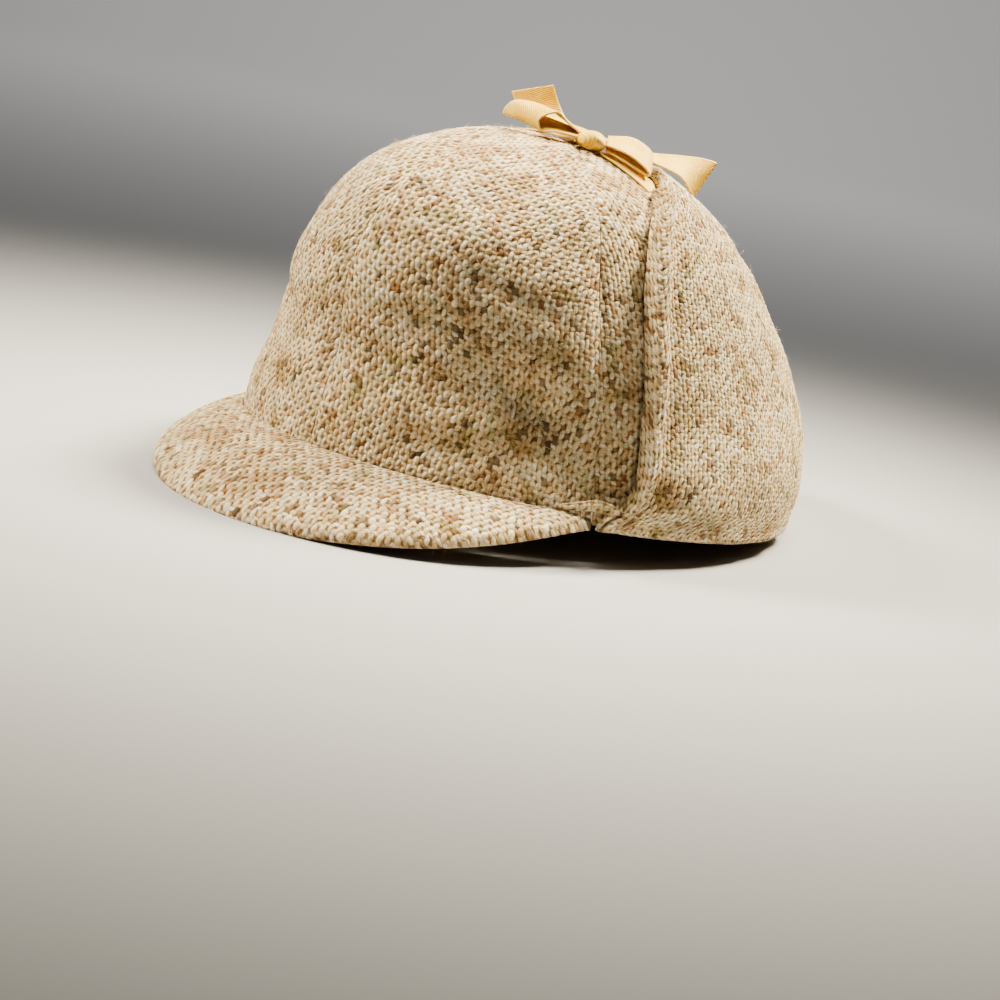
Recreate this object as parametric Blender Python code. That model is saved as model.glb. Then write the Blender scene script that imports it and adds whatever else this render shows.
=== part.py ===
"""Tweed deerstalker hat: six crown panels, a front peak, two turned-up ear flaps and a ribbon bow.

The hat is drawn in its rim frame: its front is -Y, its left side +X and up +Z, and z = 0 is the seam
where the peak's top meets the crown. Angles run round the crown in degrees, from the front (0) over the
left side (90) to the back (180). The empty "hat" then leans all of it back until it rests on the peak's
front edge and the flaps' folds, with its origin under the middle of its box.
"""
from math import cos, radians, sin

import bpy
import numpy as np
from mathutils import Matrix

# The crown, in metres
RIM_HALF_WIDTH = 0.0887
RIM_FRONT = 0.1025
RIM_BACK = 0.0993
CROWN_HEIGHT = 0.1140
CROWN_LEAN = 0.0145
HEM_DEPTH = 0.003
CROWN_WALL = 0.002
SEAM_GAP = 0.0005
SEAM_DIP = 0.0007
SEAM_SOFTNESS = 0.003
DENT_DEPTH = 0.006
TIP_RADIUS = 0.0015

# The peak
PEAK_REACH = 0.0417
PEAK_END_REACH = 0.0040
PEAK_END_ANGLE = 59.5
PEAK_FULLNESS = 1.9
PEAK_SQUARENESS = 1.28
PEAK_DROP_FRONT = 30.0
PEAK_DROP_END = 28.0
PEAK_CAMBER = 0.0040
PEAK_THICKNESS = 0.0038
PEAK_ROUNDING = 0.0025
PEAK_GAP = 0.0004

# The ear flaps
FLAP_THICKNESS = 0.0038
FLAP_GAP = 0.0010
FLAP_DROP = 0.0015
FLAP_ROUNDING = 0.002
FLAP_RIDGE = 0.0009
FLAP_SWELL = 0.0012
RIDGE_WIDTH_LOW = 0.0045
RIDGE_WIDTH_TOP = 0.0095

# The ribbon and its bow
RIBBON_WIDTH = 0.0145
RIBBON_THICKNESS = 0.0008
RIBBON_GAP = 0.0004
TIE_BACK = 0.0090
TIE_STEP = 0.0011
TIE_GATHER = 0.45
KNOT_LEFT = 0.0165
KNOT_AHEAD = 0.0065
KNOT_LENGTH = 0.0095
KNOT_DEPTH = 0.0085
KNOT_HEIGHT = 0.0060
KNOT_PINCH = 0.10

# How far the cloth gives where the hat rests, and the leans tried for it, in degrees
REST_PRESS = 0.0009
LEAN_RANGE = (-20.0, 5.0)

# Grid sizes: cells along and up each piece
PANEL_CELLS = (10, 15)
PEAK_CELLS = (40, 5)
FLAP_CELLS = (12, 12)
RIBBON_CELLS = (12, 4)
KNOT_CELLS = (12, 8)

# Seams between the crown's panels, in degrees round it
SEAM_ANGLES = (0.0, 61.0, 120.0, 180.0)

# A small step for slopes, and how often a range is halved in a search
STEP = 1e-3
HALVINGS = 50

# Colours and roughness of the two cloths
TWEED_COLOUR = (0.56, 0.43, 0.29)
TWEED_ROUGHNESS = 0.95
RIBBON_COLOUR = (0.72, 0.47, 0.17)
RIBBON_ROUGHNESS = 0.55

# Rounded cloth edges: way in from the edge as a share of the rounding, and the thickness there as a share
EDGE_ROUND = np.array([
    # way in, thickness
    (0.00, 0.40),
    (0.35, 0.80),
    (1.00, 1.00),
])

# Crown sections: height as a share of CROWN_HEIGHT, then the half width, front reach and back reach
# as shares of RIM_HALF_WIDTH, RIM_FRONT and RIM_BACK
CROWN_SECTIONS = np.array([
    # height, width, front, back
    (0.000, 1.000, 1.000, 1.000),
    (0.150, 0.985, 0.988, 1.055),
    (0.300, 0.920, 0.957, 1.055),
    (0.465, 0.850, 0.970, 0.950),
    (0.610, 0.772, 0.928, 0.792),
    (0.750, 0.687, 0.821, 0.608),
    (0.865, 0.555, 0.655, 0.402),
    (0.950, 0.357, 0.423, 0.210),
    (0.990, 0.175, 0.206, 0.090),
    (1.000, 0.000, 0.000, 0.000),
])

# Soft folds of the front of the crown: where each is deepest (angle, share of the height), how far it
# spreads (degrees, share of the height), how much it climbs towards the back, and its share of DENT_DEPTH
CROWN_DENTS = (
    # angle, height, spread, rise, climb, depth
    (48.0, 0.270, 15.0, 0.120, -0.0040, 0.80),
    (26.0, 0.420, 12.0, 0.045, 0.0040, 0.20),
    (-62.0, 0.290, 14.0, 0.120, 0.0030, 0.45),
)

# Front edge of the left flap: share of the crown's section rows, then the angle round the crown
FLAP_FRONT_EDGE = np.array([
    # rise, angle
    (-0.050, 62.5),
    (0.000, 61.4),
    (0.050, 65.6),
    (0.100, 67.2),
    (0.200, 68.2),
    (0.300, 69.7),
    (0.400, 70.7),
    (0.500, 71.8),
    (0.600, 75.0),
    (0.700, 83.0),
])

# Top edge of the flap from its tip to the centre of the back: share of the way, then the rise
FLAP_TOP_EDGE = np.array([
    # way, rise
    (0.00, 0.700),
    (0.25, 0.765),
    (0.60, 0.775),
    (1.00, 0.725),
])

# The bow's ribbons. Each row: its middle's place in plan, left and back of the knot, and its lift off the
# crown's form, all as shares of RIBBON_WIDTH; the direction that its width takes there; its share of the
# full width. A first row, and a loop's last row, gives only the side of the knot that the ribbon leaves
BOW_RIBBONS = {
    "ribbon_loop_front": (
        # left, back, lift, across x, across y, across z, width
        (-0.34, -0.24, 0.30, 0.73, -0.65, -0.15, 0.35),
        (-0.66, -0.44, 0.48, 0.89, -0.38, -0.22, 0.70),
        (-0.97, -0.70, 0.62, 0.98, -0.10, -0.10, 0.92),
        (-1.20, -0.98, 0.56, 0.98, 0.12, -0.12, 1.00),
        (-1.29, -1.12, 0.35, 0.98, 0.15, 0.00, 1.00),
        (-1.16, -1.02, 0.18, 0.99, 0.10, 0.04, 0.97),
        (-0.80, -0.72, 0.16, 0.97, -0.20, 0.04, 0.78),
        (-0.30, -0.26, 0.18, 0.80, -0.58, 0.00, 0.40),
    ),
    "ribbon_loop_left": (
        (0.36, 0.18, 0.34, 0.60, -0.80, 0.00, 0.45),
        (0.72, 0.46, 0.46, 0.60, -0.80, -0.10, 0.85),
        (1.03, 0.72, 0.44, 0.60, -0.80, -0.10, 1.00),
        (1.17, 0.85, 0.34, 0.60, -0.80, -0.10, 1.00),
        (1.03, 0.74, 0.26, 0.60, -0.80, -0.10, 1.00),
        (0.72, 0.49, 0.23, 0.60, -0.80, 0.00, 0.85),
        (0.38, 0.24, 0.20, 0.60, -0.80, 0.00, 0.45),
    ),
    "ribbon_tail_front": (
        (-0.45, 0.20, 0.28, 0.30, 0.90, 0.10, 0.40),
        (-1.14, 0.38, 0.31, 0.30, 0.95, 0.00, 0.80),
        (-1.86, 0.52, 0.35, 0.50, 0.85, 0.10, 1.00),
        (-2.28, 0.60, 0.62, 0.66, 0.68, 0.25, 1.00),
        (-2.58, 0.53, 1.10, 0.68, 0.62, 0.38, 1.00),
    ),
    "ribbon_tail_left": (
        (-0.08, 0.42, 0.24, 0.95, 0.10, 0.00, 0.40),
        (-0.10, 1.03, 0.34, 0.95, -0.15, -0.05, 0.60),
        (0.18, 1.80, 0.47, 0.84, -0.50, -0.20, 0.78),
        (0.78, 2.45, 0.83, 0.60, -0.58, -0.50, 0.92),
        (1.23, 2.97, 1.04, -0.15, -0.40, -0.90, 1.00),
    ),
}


def smooth_rows(rows, share):
    """Smooth curve through a table's rows, share 0 to 1 over evenly counted rows.

    Each stretch is the cubic whose end slopes are half the step between the rows on either side. The
    curve leaves the first row straight.
    """
    rows = np.asarray(rows, float)
    padded = np.vstack([2 * rows[0] - rows[1], rows, 2 * rows[-1] - rows[-2]])
    return cubic_through(padded, share)


def cubic_through(padded, share):
    """The cubic curve of smooth_rows, for rows that already have one more row at each end."""
    place = np.clip(share, 0.0, 1.0) * (len(padded) - 3)
    first = np.minimum(place.astype(int), len(padded) - 4)
    part = (place - first)[..., None]
    a, b, c, d = (padded[first + k] for k in range(4))
    bend = 2 * a - 5 * b + 4 * c - d
    twist = 3 * b - a - 3 * c + d
    return b + 0.5 * part * ((c - a) + part * (bend + part * twist))


def table_value(rows, key):
    """Second column of a table where its first column has the value key, smoothly between the rows."""
    rows = np.asarray(rows, float)
    share = np.interp(key, rows[:, 0], np.linspace(0.0, 1.0, len(rows)))
    return smooth_rows(rows[:, 1:], share)[..., 0]


def crown_form(angle, rise):
    """Point of the crown's outer form: half an ellipse ahead and half behind, as wide as its section.

    The rise runs from 0 at the lower edge to 1 at the top over the rows of the section table. Below 0 the
    form goes straight down. The sections move forward with the square of their height.
    """
    angle, rise = np.broadcast_arrays(np.radians(angle), np.asarray(rise, float))
    top = CROWN_SECTIONS[-2] * (1, -1, -1, -1)
    low = 2 * CROWN_SECTIONS[0] - CROWN_SECTIONS[1]
    padded = np.vstack([low, CROWN_SECTIONS, top])
    height, width, front, back = np.moveaxis(cubic_through(padded, rise), -1, 0)
    reach = np.where(np.cos(angle) > 0, front * RIM_FRONT, back * RIM_BACK)
    return np.stack([
        width * RIM_HALF_WIDTH * np.sin(angle),
        -reach * np.cos(angle) - CROWN_LEAN * height**2,
        (height + np.minimum(rise, 0.0)) * CROWN_HEIGHT - HEM_DEPTH,
    ], -1)


def unit(vectors):
    """The same directions with length one."""
    return vectors / np.linalg.norm(vectors, axis=-1, keepdims=True)


def form_pull(angle, rise):
    """How far the form moves for one degree round it, in metres."""
    step = crown_form(angle + STEP, rise) - crown_form(angle - STEP, rise)
    return np.linalg.norm(step, axis=-1) / (2 * STEP)


def crown_normal(angle, rise):
    """Outward direction of the form: across the step round it and the step up it."""
    around = crown_form(angle + STEP, rise) - crown_form(angle - STEP, rise)
    upward = crown_form(angle, np.minimum(rise + STEP, 1.0)) - crown_form(angle, rise - STEP)
    return unit(np.cross(around, upward))


def off_crown(angle, rise, out):
    """Point that stands off the crown's form by out, along its outward direction."""
    angle, rise = np.broadcast_arrays(angle, np.asarray(rise, float))
    return crown_form(angle, rise) + crown_normal(angle, rise) * np.asarray(out)[..., None]


def dent_depth(angle, rise):
    """How far the folds go in: round hollows that fade as a bell curve, from the table of dents."""
    height = (crown_form(angle, rise)[..., 2] + HEM_DEPTH) / CROWN_HEIGHT
    depth = np.zeros(height.shape)
    for middle, level, spread, tall, climb, share in CROWN_DENTS:
        along = (angle - middle) / spread
        up = (height - level - climb * (angle - middle)) / tall
        depth += share * DENT_DEPTH * np.exp(-along**2 - up**2)
    return depth


def crown_at(x, y):
    """Angle and rise where the crown's form lies over the points x, y, by halving the range of rises."""
    low, high = np.zeros_like(x), np.ones_like(x)
    for _ in range(HALVINGS):
        rise = (low + high) / 2
        side, middle, _ = np.moveaxis(crown_form(90.0, rise), -1, 0)
        front, back = crown_form(0.0, rise)[..., 1], crown_form(180.0, rise)[..., 1]
        reach = np.where(y < middle, middle - front, back - middle)
        inside = (x / side)**2 + ((y - middle) / reach)**2 < 1
        low, high = np.where(inside, rise, low), np.where(inside, high, rise)
    return np.degrees(np.arctan2(x / side, (middle - y) / reach)), rise


def material(name, cloth):
    """Principled material of a piece: tweed, or ribbon for the pieces named so."""
    colour, roughness = cloth
    made = bpy.data.materials.new(name)
    made.use_nodes = True
    shader = made.node_tree.nodes["Principled BSDF"]
    shader.inputs["Base Color"].default_value = (*colour, 1.0)
    shader.inputs["Roughness"].default_value = roughness
    shader.inputs["Metallic"].default_value = 0.0
    return made


def grid_faces(rows, columns, first=0):
    """Quads of a grid of points, wound so that columns then rows turn outwards."""
    corner = first + np.arange(rows - 1)[:, None] * columns + np.arange(columns - 1)
    return np.stack([corner, corner + 1, corner + columns + 1, corner + columns], -1).reshape(-1, 4)


def wall(outer, inner):
    """Closed wall between two grids of the same size: both faces and the four borders between them."""
    rows, columns = outer.shape[:2]
    count = rows * columns
    index = np.arange(count).reshape(rows, columns)
    border = np.concatenate([index[0], index[1:, -1], index[-1, -2::-1], index[-2:0:-1, 0]])
    following = np.roll(border, -1)
    sides = np.stack([border + count, following + count, following, border], -1)
    faces = np.concatenate([grid_faces(rows, columns), grid_faces(rows, columns, count)[:, ::-1], sides])
    return np.concatenate([outer.reshape(-1, 3), inner.reshape(-1, 3)]), faces


def spaced(cells):
    """Shares from 0 to 1 that crowd towards both ends, as the cosine does."""
    return 0.5 - 0.5 * np.cos(np.linspace(0.0, np.pi, cells + 1))


def crown_panel(start, end):
    """One crown panel: a wall from seam to seam that dips at its seams and at the crown's folds."""
    cells_round, cells_up = PANEL_CELLS
    tip = crown_at(np.array(TIP_RADIUS), np.array(-CROWN_LEAN))[1]
    rise = np.linspace(0.0, tip, cells_up + 1)[:, None]
    trim_start = SEAM_GAP / 2 / form_pull(start, rise)
    trim_end = SEAM_GAP / 2 / form_pull(end, rise)
    share = spaced(cells_round)[None, :]
    angle = (start + trim_start) * (1 - share) + (end - trim_end) * share
    from_seam = np.minimum(angle - start, end - angle) * form_pull(angle, rise)
    dip = SEAM_DIP * np.exp(-(from_seam / SEAM_SOFTNESS)**2) + dent_depth(angle, rise)
    return wall(off_crown(angle, rise, -dip), off_crown(angle, rise, -dip - CROWN_WALL))


def peak_reach(angle):
    """How far the peak stands out at an angle: full at the front, and little at its ends."""
    share = np.abs(angle) / PEAK_END_ANGLE
    fullness = np.clip(1 - share**PEAK_FULLNESS, 0.0, 1.0)**PEAK_SQUARENESS
    return PEAK_END_REACH + (PEAK_REACH - PEAK_END_REACH) * fullness


def peak_point(angle, out):
    """Point of the peak's top: straight out from the seam and down by its drop, with a slight camber."""
    seam = crown_form(angle, 0.0)
    level = crown_normal(angle, -STEP)
    share = np.abs(angle) / PEAK_END_ANGLE
    drop = np.radians(PEAK_DROP_FRONT + (PEAK_DROP_END - PEAK_DROP_FRONT) * share**2)
    reach = peak_reach(angle)
    away = PEAK_GAP + reach * out * np.cos(drop)
    arch = PEAK_CAMBER * 4 * out * (1 - out) * reach / PEAK_REACH
    point = seam + level * away[..., None]
    point[..., 2] = arch - reach * out * np.sin(drop)
    return point


def peak():
    """The peak: a wall from the seam to an edge that rounds off, thick as two cloths and their board."""
    cells_round, cells_out = PEAK_CELLS
    angle = np.linspace(-PEAK_END_ANGLE, PEAK_END_ANGLE, cells_round + 1)[None, :]
    turn = PEAK_ROUNDING / np.maximum(peak_reach(angle), 2 * PEAK_ROUNDING)
    from_edge, full = EDGE_ROUND[:, :1], EDGE_ROUND[:, 1:]
    edge = 1 - from_edge[::-1] * turn
    steps = np.linspace(0.0, 1.0, cells_out + 1)[:-1, None]
    out = np.concatenate([steps * edge[:1], edge])
    full = np.concatenate([np.ones_like(steps), full[::-1]])
    top = peak_point(np.broadcast_to(angle, out.shape), out)
    down = np.array([0.0, 0.0, PEAK_THICKNESS / 2])
    upper = top - (down * (1 - full))[:, None]
    under = top - (down * (1 + full))[:, None]
    return wall(upper[::-1], under[::-1])


def flap_place(way, climb):
    """Angle and rise of a place on the left flap, from its share of the way back and of the way up."""
    top_rise = table_value(FLAP_TOP_EDGE, way)
    rise = climb * top_rise
    front = table_value(FLAP_FRONT_EDGE, climb * FLAP_TOP_EDGE[0, 1])
    back = 180.0 - SEAM_GAP / 2 / form_pull(180.0, rise)
    return front + (back - front) * way, rise


def flap_skins():
    """Outer and inner grids of the left flap, with its rounded rim and the raised hem of its front edge."""
    cells_round, cells_up = FLAP_CELLS
    low = -FLAP_DROP / CROWN_HEIGHT
    edge = EDGE_ROUND[:, 0] * FLAP_ROUNDING / CROWN_HEIGHT
    body = np.linspace(low + edge[-1], 1 - edge[-1], cells_up + 1)[1:-1]
    climb = np.concatenate([low + edge, body, 1 - edge[::-1]])[:, None]
    front = table_value(FLAP_FRONT_EDGE, climb * FLAP_TOP_EDGE[0, 1])
    rise = climb * FLAP_TOP_EDGE[0, 1]
    to_share = 1 / (form_pull(front, rise) * (180.0 - front))
    ridge = RIDGE_WIDTH_LOW + (RIDGE_WIDTH_TOP - RIDGE_WIDTH_LOW) * np.clip(climb, 0.0, 1.0)
    near = np.concatenate([EDGE_ROUND[:, 0] * FLAP_ROUNDING + 0 * ridge,
                           ridge - FLAP_RIDGE, ridge + FLAP_RIDGE], 1) * to_share
    rest = near[:, -1:] + (1 - near[:, -1:]) * np.linspace(0.0, 1.0, cells_round + 1)[None, 1:]
    way = np.concatenate([near, rest], 1)
    angle, rise = flap_place(way, climb)
    in_ridge = np.zeros(way.shape)
    in_ridge[:, 1:len(EDGE_ROUND) + 1] = 1.0
    rim = np.ones(way.shape)
    for step, full in enumerate(EDGE_ROUND[:, 1]):
        rim[:, step] = np.minimum(rim[:, step], full)
        rim[[step, -1 - step]] = np.minimum(rim[[step, -1 - step]], full)
    swell = FLAP_SWELL * np.sin(np.pi * np.clip(climb * 2, 0.0, 1.0))**2 * np.sin(np.pi * way)
    thick = FLAP_THICKNESS * rim + FLAP_RIDGE * in_ridge + swell
    return off_crown(angle, rise, FLAP_GAP + thick), off_crown(angle, rise, FLAP_GAP + 0 * thick)


def ear_flap(side):
    """An ear flap: the left one (side 1), or its mirror image on the right (side -1)."""
    outer, inner = flap_skins()
    if side > 0:
        return wall(outer, inner)
    mirror = np.array([-1.0, 1.0, 1.0])
    return wall((outer * mirror)[:, ::-1], (inner * mirror)[:, ::-1])


def knot_centre():
    """Centre of the knot, which sits on the crown a little to the left of the top."""
    angle, rise = crown_at(np.array(KNOT_LEFT), np.array(-CROWN_LEAN - KNOT_AHEAD))
    return off_crown(angle, rise, RIBBON_GAP + KNOT_HEIGHT / 2)


def knot():
    """The knot: an egg of its three sizes, a little squared off where the band wraps it."""
    turns, levels = KNOT_CELLS
    long = np.linspace(0.0, 2 * np.pi, turns, endpoint=False)[None, :]
    up = np.linspace(-np.pi / 2, np.pi / 2, levels + 1)[1:-1, None]
    pinch = 1 - KNOT_PINCH * np.sin(2 * long)**2 * np.cos(up)
    x = KNOT_LENGTH / 2 * np.cos(up) * np.cos(long) * pinch
    y = KNOT_DEPTH / 2 * np.cos(up) * np.sin(long)
    z = KNOT_HEIGHT / 2 * np.sin(up) + 0 * long
    ring = np.stack([x, y, z], -1).reshape(-1, 3)
    points = np.concatenate([ring, [[0, 0, -KNOT_HEIGHT / 2], [0, 0, KNOT_HEIGHT / 2]]])
    index = np.arange(turns)
    after = (index + 1) % turns
    faces = []
    for level in range(levels - 2):
        low, high = level * turns, (level + 1) * turns
        faces += np.stack([low + index, low + after, high + after, high + index], -1).tolist()
    bottom, top, last = len(ring), len(ring) + 1, (levels - 2) * turns
    faces += np.stack([after, index, np.full(turns, bottom)], -1).tolist()
    faces += np.stack([last + index, last + after, np.full(turns, top)], -1).tolist()
    return points + knot_centre(), faces


def ribbon(rows):
    """A ribbon: its width carried along the smooth curve through its rows, as a thin wall.

    Each row is the middle, the direction of the width and its share of RIBBON_WIDTH.
    """
    cells_along, cells_across = RIBBON_CELLS
    along = smooth_rows(rows, np.linspace(0.0, 1.0, cells_along + 1))[:, None]
    side = np.linspace(-0.5, 0.5, cells_across + 1)[None, :, None]
    sheet = along[..., :3] + unit(along[..., 3:6]) * along[..., 6:7] * RIBBON_WIDTH * side
    face = unit(np.cross(np.gradient(sheet, axis=1), np.gradient(sheet, axis=0)))
    half = face * RIBBON_THICKNESS / 2
    return wall(sheet + half, sheet - half)


def knot_edge(way):
    """Offset in plan from the knot's centre to a ribbon's end beside its outline, for directions in plan."""
    way = unit(way)
    radius = 1 / np.hypot(2 * way[..., :1] / KNOT_LENGTH, 2 * way[..., 1:] / KNOT_DEPTH)
    return way * (radius + RIBBON_GAP)


def bow_ribbon(name):
    """A loop or a tail of the bow: its rows set round the knot, over the crown, its ends at the knot."""
    rows = np.array(BOW_RIBBONS[name])
    plan = rows[:, :2] * RIBBON_WIDTH
    ends = [0, -1] if "loop" in name else [0]
    plan[ends] = knot_edge(plan[ends])
    x, y = (knot_centre()[:2] + plan).T
    angle, rise = crown_at(x, y)
    height = crown_form(angle, rise)[:, 2] + rows[:, 2] * RIBBON_WIDTH
    return ribbon(np.column_stack([x, y, height, rows[:, 3:]]))


def tie(side):
    """The ribbon from a flap's top edge to the knot: a band pressed on the crown, gathered at the knot.

    Seen from above, each thread along it runs straight from the flap's edge to the knot's edge.
    """
    cells_along, cells_across = RIBBON_CELLS
    width = np.linspace(-0.5, 0.5, cells_across + 1) * RIBBON_WIDTH
    tip = crown_form(*flap_place(np.array([0.0, STEP]), np.array(1.0)))
    way_length = np.linalg.norm(tip[1] - tip[0]) / STEP
    angle, rise = flap_place((TIE_BACK + width) / way_length, np.array(1.0))
    border = crown_form(side * angle, rise)[:, :2]
    centre = knot_centre()[:2]
    toward = unit(centre - border.mean(0))
    start = border + toward * TIE_STEP
    across = np.array([toward[1], -toward[0]]) * side
    goal = centre + knot_edge(-toward) + across * width[:, None] * TIE_GATHER
    share = np.linspace(0.0, 1.0, cells_along + 1)[:, None, None]
    plan = start + (goal - start) * share
    angle, rise = crown_at(plan[..., 0], plan[..., 1])
    skins = [off_crown(angle, rise, RIBBON_GAP + lift) for lift in (RIBBON_THICKNESS, 0.0)]
    return wall(*(skin[:, ::side] for skin in skins))


def shapes():
    """Points and faces of every piece in the rim frame."""
    made = {}
    spans = dict(zip(("front", "side", "back"), zip(SEAM_ANGLES, SEAM_ANGLES[1:])))
    for name, (start, end) in spans.items():
        made[f"crown_panel_{name}_left"] = crown_panel(start, end)
        made[f"crown_panel_{name}_right"] = crown_panel(-end, -start)
    made["peak"] = peak()
    made["ear_flap_left"] = ear_flap(1)
    made["ear_flap_right"] = ear_flap(-1)
    made["ribbon_knot"] = knot()
    made["ribbon_tie_left"] = tie(1)
    made["ribbon_tie_right"] = tie(-1)
    for name in BOW_RIBBONS:
        made[name] = bow_ribbon(name)
    return made


def leaned(points, lean):
    """Heights of points once the hat is leaned back by an angle."""
    return points[:, 2] * cos(lean) + points[:, 1] * sin(lean)


def rest_lean(front, back):
    """Angle about X at which the front and the back points reach equally low, by halving the range."""
    low, high = map(radians, LEAN_RANGE)
    for _ in range(HALVINGS):
        lean = (low + high) / 2
        if leaned(front, lean).min() > leaned(back, lean).min():
            low = lean
        else:
            high = lean
    return lean


def flattened(points, lean, floor):
    """Points pressed up to the floor plane, square to it, where they would go below it."""
    below = np.maximum(floor - leaned(points, lean), 0.0)
    return points + below[:, None] * np.array([0.0, sin(lean), cos(lean)])


def build():
    """Makes every piece, lays the hat on its rest plane and centres it there."""
    for thing in list(bpy.data.objects):
        bpy.data.objects.remove(thing)
    made = shapes()
    lean = rest_lean(made["peak"][0], made["ear_flap_left"][0])
    floor = leaned(made["peak"][0], lean).min() + REST_PRESS
    made = {name: (flattened(points, lean, floor), faces) for name, (points, faces) in made.items()}
    turn = Matrix.Rotation(lean, 4, "X")
    everything = np.concatenate([points for points, _ in made.values()]) @ np.array(turn.to_3x3()).T
    middle = (everything.min(0) + everything.max(0)) / 2
    hat = bpy.data.objects.new("hat", None)
    hat.matrix_world = Matrix.Translation((-middle[0], -middle[1], -floor)) @ turn
    bpy.context.collection.objects.link(hat)
    for name, (points, faces) in made.items():
        mesh = bpy.data.meshes.new(name)
        mesh.from_pydata(points.tolist(), [], [list(face) for face in faces])
        mesh.update()
        mesh.shade_smooth()
        ribbon_piece = name.startswith("ribbon")
        cloth = (RIBBON_COLOUR, RIBBON_ROUGHNESS) if ribbon_piece else (TWEED_COLOUR, TWEED_ROUGHNESS)
        mesh.materials.append(material(name + "_cloth", cloth))
        piece = bpy.data.objects.new(name, mesh)
        piece.parent = hat
        bpy.context.collection.objects.link(piece)
    bpy.context.view_layer.update()


build()
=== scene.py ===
"""Deerstalker hat in cream tweed with a ribbon bow, dressed over its CAD frame.

Every piece is worked out in the hat's rim frame, as the solids are: front -Y, left side +X, up +Z, z = 0 at
the seam of the peak. Angles run round the crown in degrees, from the front (0) over the left (90) to the
back (180). placed() leans the finished points back onto the floor.
"""

import bpy
import numpy as np
from mathutils import Matrix


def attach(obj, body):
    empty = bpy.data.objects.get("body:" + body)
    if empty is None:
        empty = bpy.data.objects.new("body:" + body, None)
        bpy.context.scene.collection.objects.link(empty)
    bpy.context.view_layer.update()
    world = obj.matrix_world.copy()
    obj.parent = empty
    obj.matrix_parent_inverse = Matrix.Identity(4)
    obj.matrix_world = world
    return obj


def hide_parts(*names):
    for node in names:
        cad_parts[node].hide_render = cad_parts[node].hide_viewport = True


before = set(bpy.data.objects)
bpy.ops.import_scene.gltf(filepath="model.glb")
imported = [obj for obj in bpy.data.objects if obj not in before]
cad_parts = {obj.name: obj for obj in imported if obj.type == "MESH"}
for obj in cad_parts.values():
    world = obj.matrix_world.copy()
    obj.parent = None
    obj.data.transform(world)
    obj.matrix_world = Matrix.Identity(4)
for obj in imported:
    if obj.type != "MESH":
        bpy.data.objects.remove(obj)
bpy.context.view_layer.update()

# How the hat rests: its lean in degrees and the rim frame's place, in metres
HAT_LEAN = -4.601922
HAT_BACK = 0.01455
HAT_UP = 0.0114355

# The crown
RIM_HALF_WIDTH = 0.0887
RIM_FRONT = 0.1025
RIM_BACK = 0.0993
CROWN_HEIGHT = 0.1140
CROWN_LEAN = 0.0145
HEM_DEPTH = 0.003
CROWN_WALL = 0.002
WIDEST_RISE = 0.12
SEAM_FADE = 0.0012
EDGE_FADE = 0.001
SEAM_GAP = 0.00012
SEAM_DIP = 0.0009
SEAM_SOFTNESS = 0.0028
DENT_DEPTH = 0.006
TIP_RADIUS = 0.0015
SEAM_ANGLES = (0.0, 61.0, 120.0, 180.0)

# The peak
PEAK_REACH = 0.0417
PEAK_END_REACH = 0.0040
PEAK_END_ANGLE = 59.5
PEAK_FULLNESS = 1.9
PEAK_SQUARENESS = 1.28
PEAK_DROP_FRONT = 30.0
PEAK_DROP_END = 28.0
PEAK_CAMBER = 0.0040
PEAK_THICKNESS = 0.0038
PEAK_END_THICKNESS = 0.0029
PEAK_UNDER = 0.0060
PEAK_GAP = 0.0004
PEAK_CELL_STRETCH = 1.15
PEAK_EDGE_FADE = 0.55

# The ear flaps
FLAP_THICKNESS = 0.0038
FLAP_GAP = 0.0010
FLAP_DROP = 0.0015
FLAP_ROUNDING = 0.0022
FLAP_RIDGE = 0.0026
FLAP_SWELL = 0.0012
FLAP_VALLEY = 0.0012
RIDGE_WIDTH_LOW = 0.0045
RIDGE_WIDTH_TOP = 0.0100
RIDGE_POWER = 2.6
VALLEY_BEHIND = 0.0020
VALLEY_WIDTH = 0.0042
STITCH_INSET = 0.0030
STITCH_WIDTH = 0.0005
STITCH_DEPTH = 0.0005
STITCH_TOP = 0.45
BACK_SEAM_DIP = 1.6
HEM_ZONE = 0.016
DRAWN_PITCH, DRAWN_SLOPE, FREE_PITCH = 0.00130, 0.030, 0.00190

# The ribbon and its bow
RIBBON_WIDTH = 0.0145
RIBBON_THICKNESS = 0.0006
RIBBON_GAP = 0.0004
BOW_CELLS = (72, 32)
TIE_CELLS = (60, 16)
TEETH_COUNT = 8
TEETH_DEPTH = 0.014
TIE_BACK = 0.0090
TIE_STEP = 0.0011
TIE_GATHER = 0.45
KNOT_LEFT = 0.0165
KNOT_AHEAD = 0.0065
KNOT_LENGTH = 0.0095
KNOT_DEPTH = 0.0085
KNOT_HEIGHT = 0.0060
KNOT_SWELL = (1.10, 1.18, 1.12)
KNOT_SHIFT = (0.0008, -0.0012, -0.0006)
KNOT_CELLS = (72, 48)
KNOT_WAVES = 0.07
KNOT_CREASE = 0.10
KNOT_CREASE_WIDTH = 0.10

# The weave: how far apart the yarns lie and how high they stand; how far they wander and the length of that
# wave, in yarns; the slubs of single yarns; the beads' lean, half widths and half lengths, in yarns
YARN_PITCH = 0.00186
YARN_RELIEF = 0.00038
SMALL_WANDER, SMALL_WAVE = 0.30, 5.0
WIDE_WANDER, WIDE_WAVE = 0.9, 23.0
SLUB_SIDE, SLUB_UP, SLUB_WAVE = 0.19, 0.32, 2.5
BEAD_SLANT = 0.28
UPRIGHT_BEAD = (0.42, 0.62)
CROSS_BEAD = (0.40, 0.55)
CROSS_HEIGHT = 0.75
LATTICE = 64

# The cloth's slow unevenness: its height and the length of its wave, on the crown and on the flaps
CROWN_SOFT, CROWN_SOFT_WAVE = 0.0005, 0.012
FLAP_SOFT, FLAP_SOFT_WAVE = 0.0006, 0.014

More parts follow.
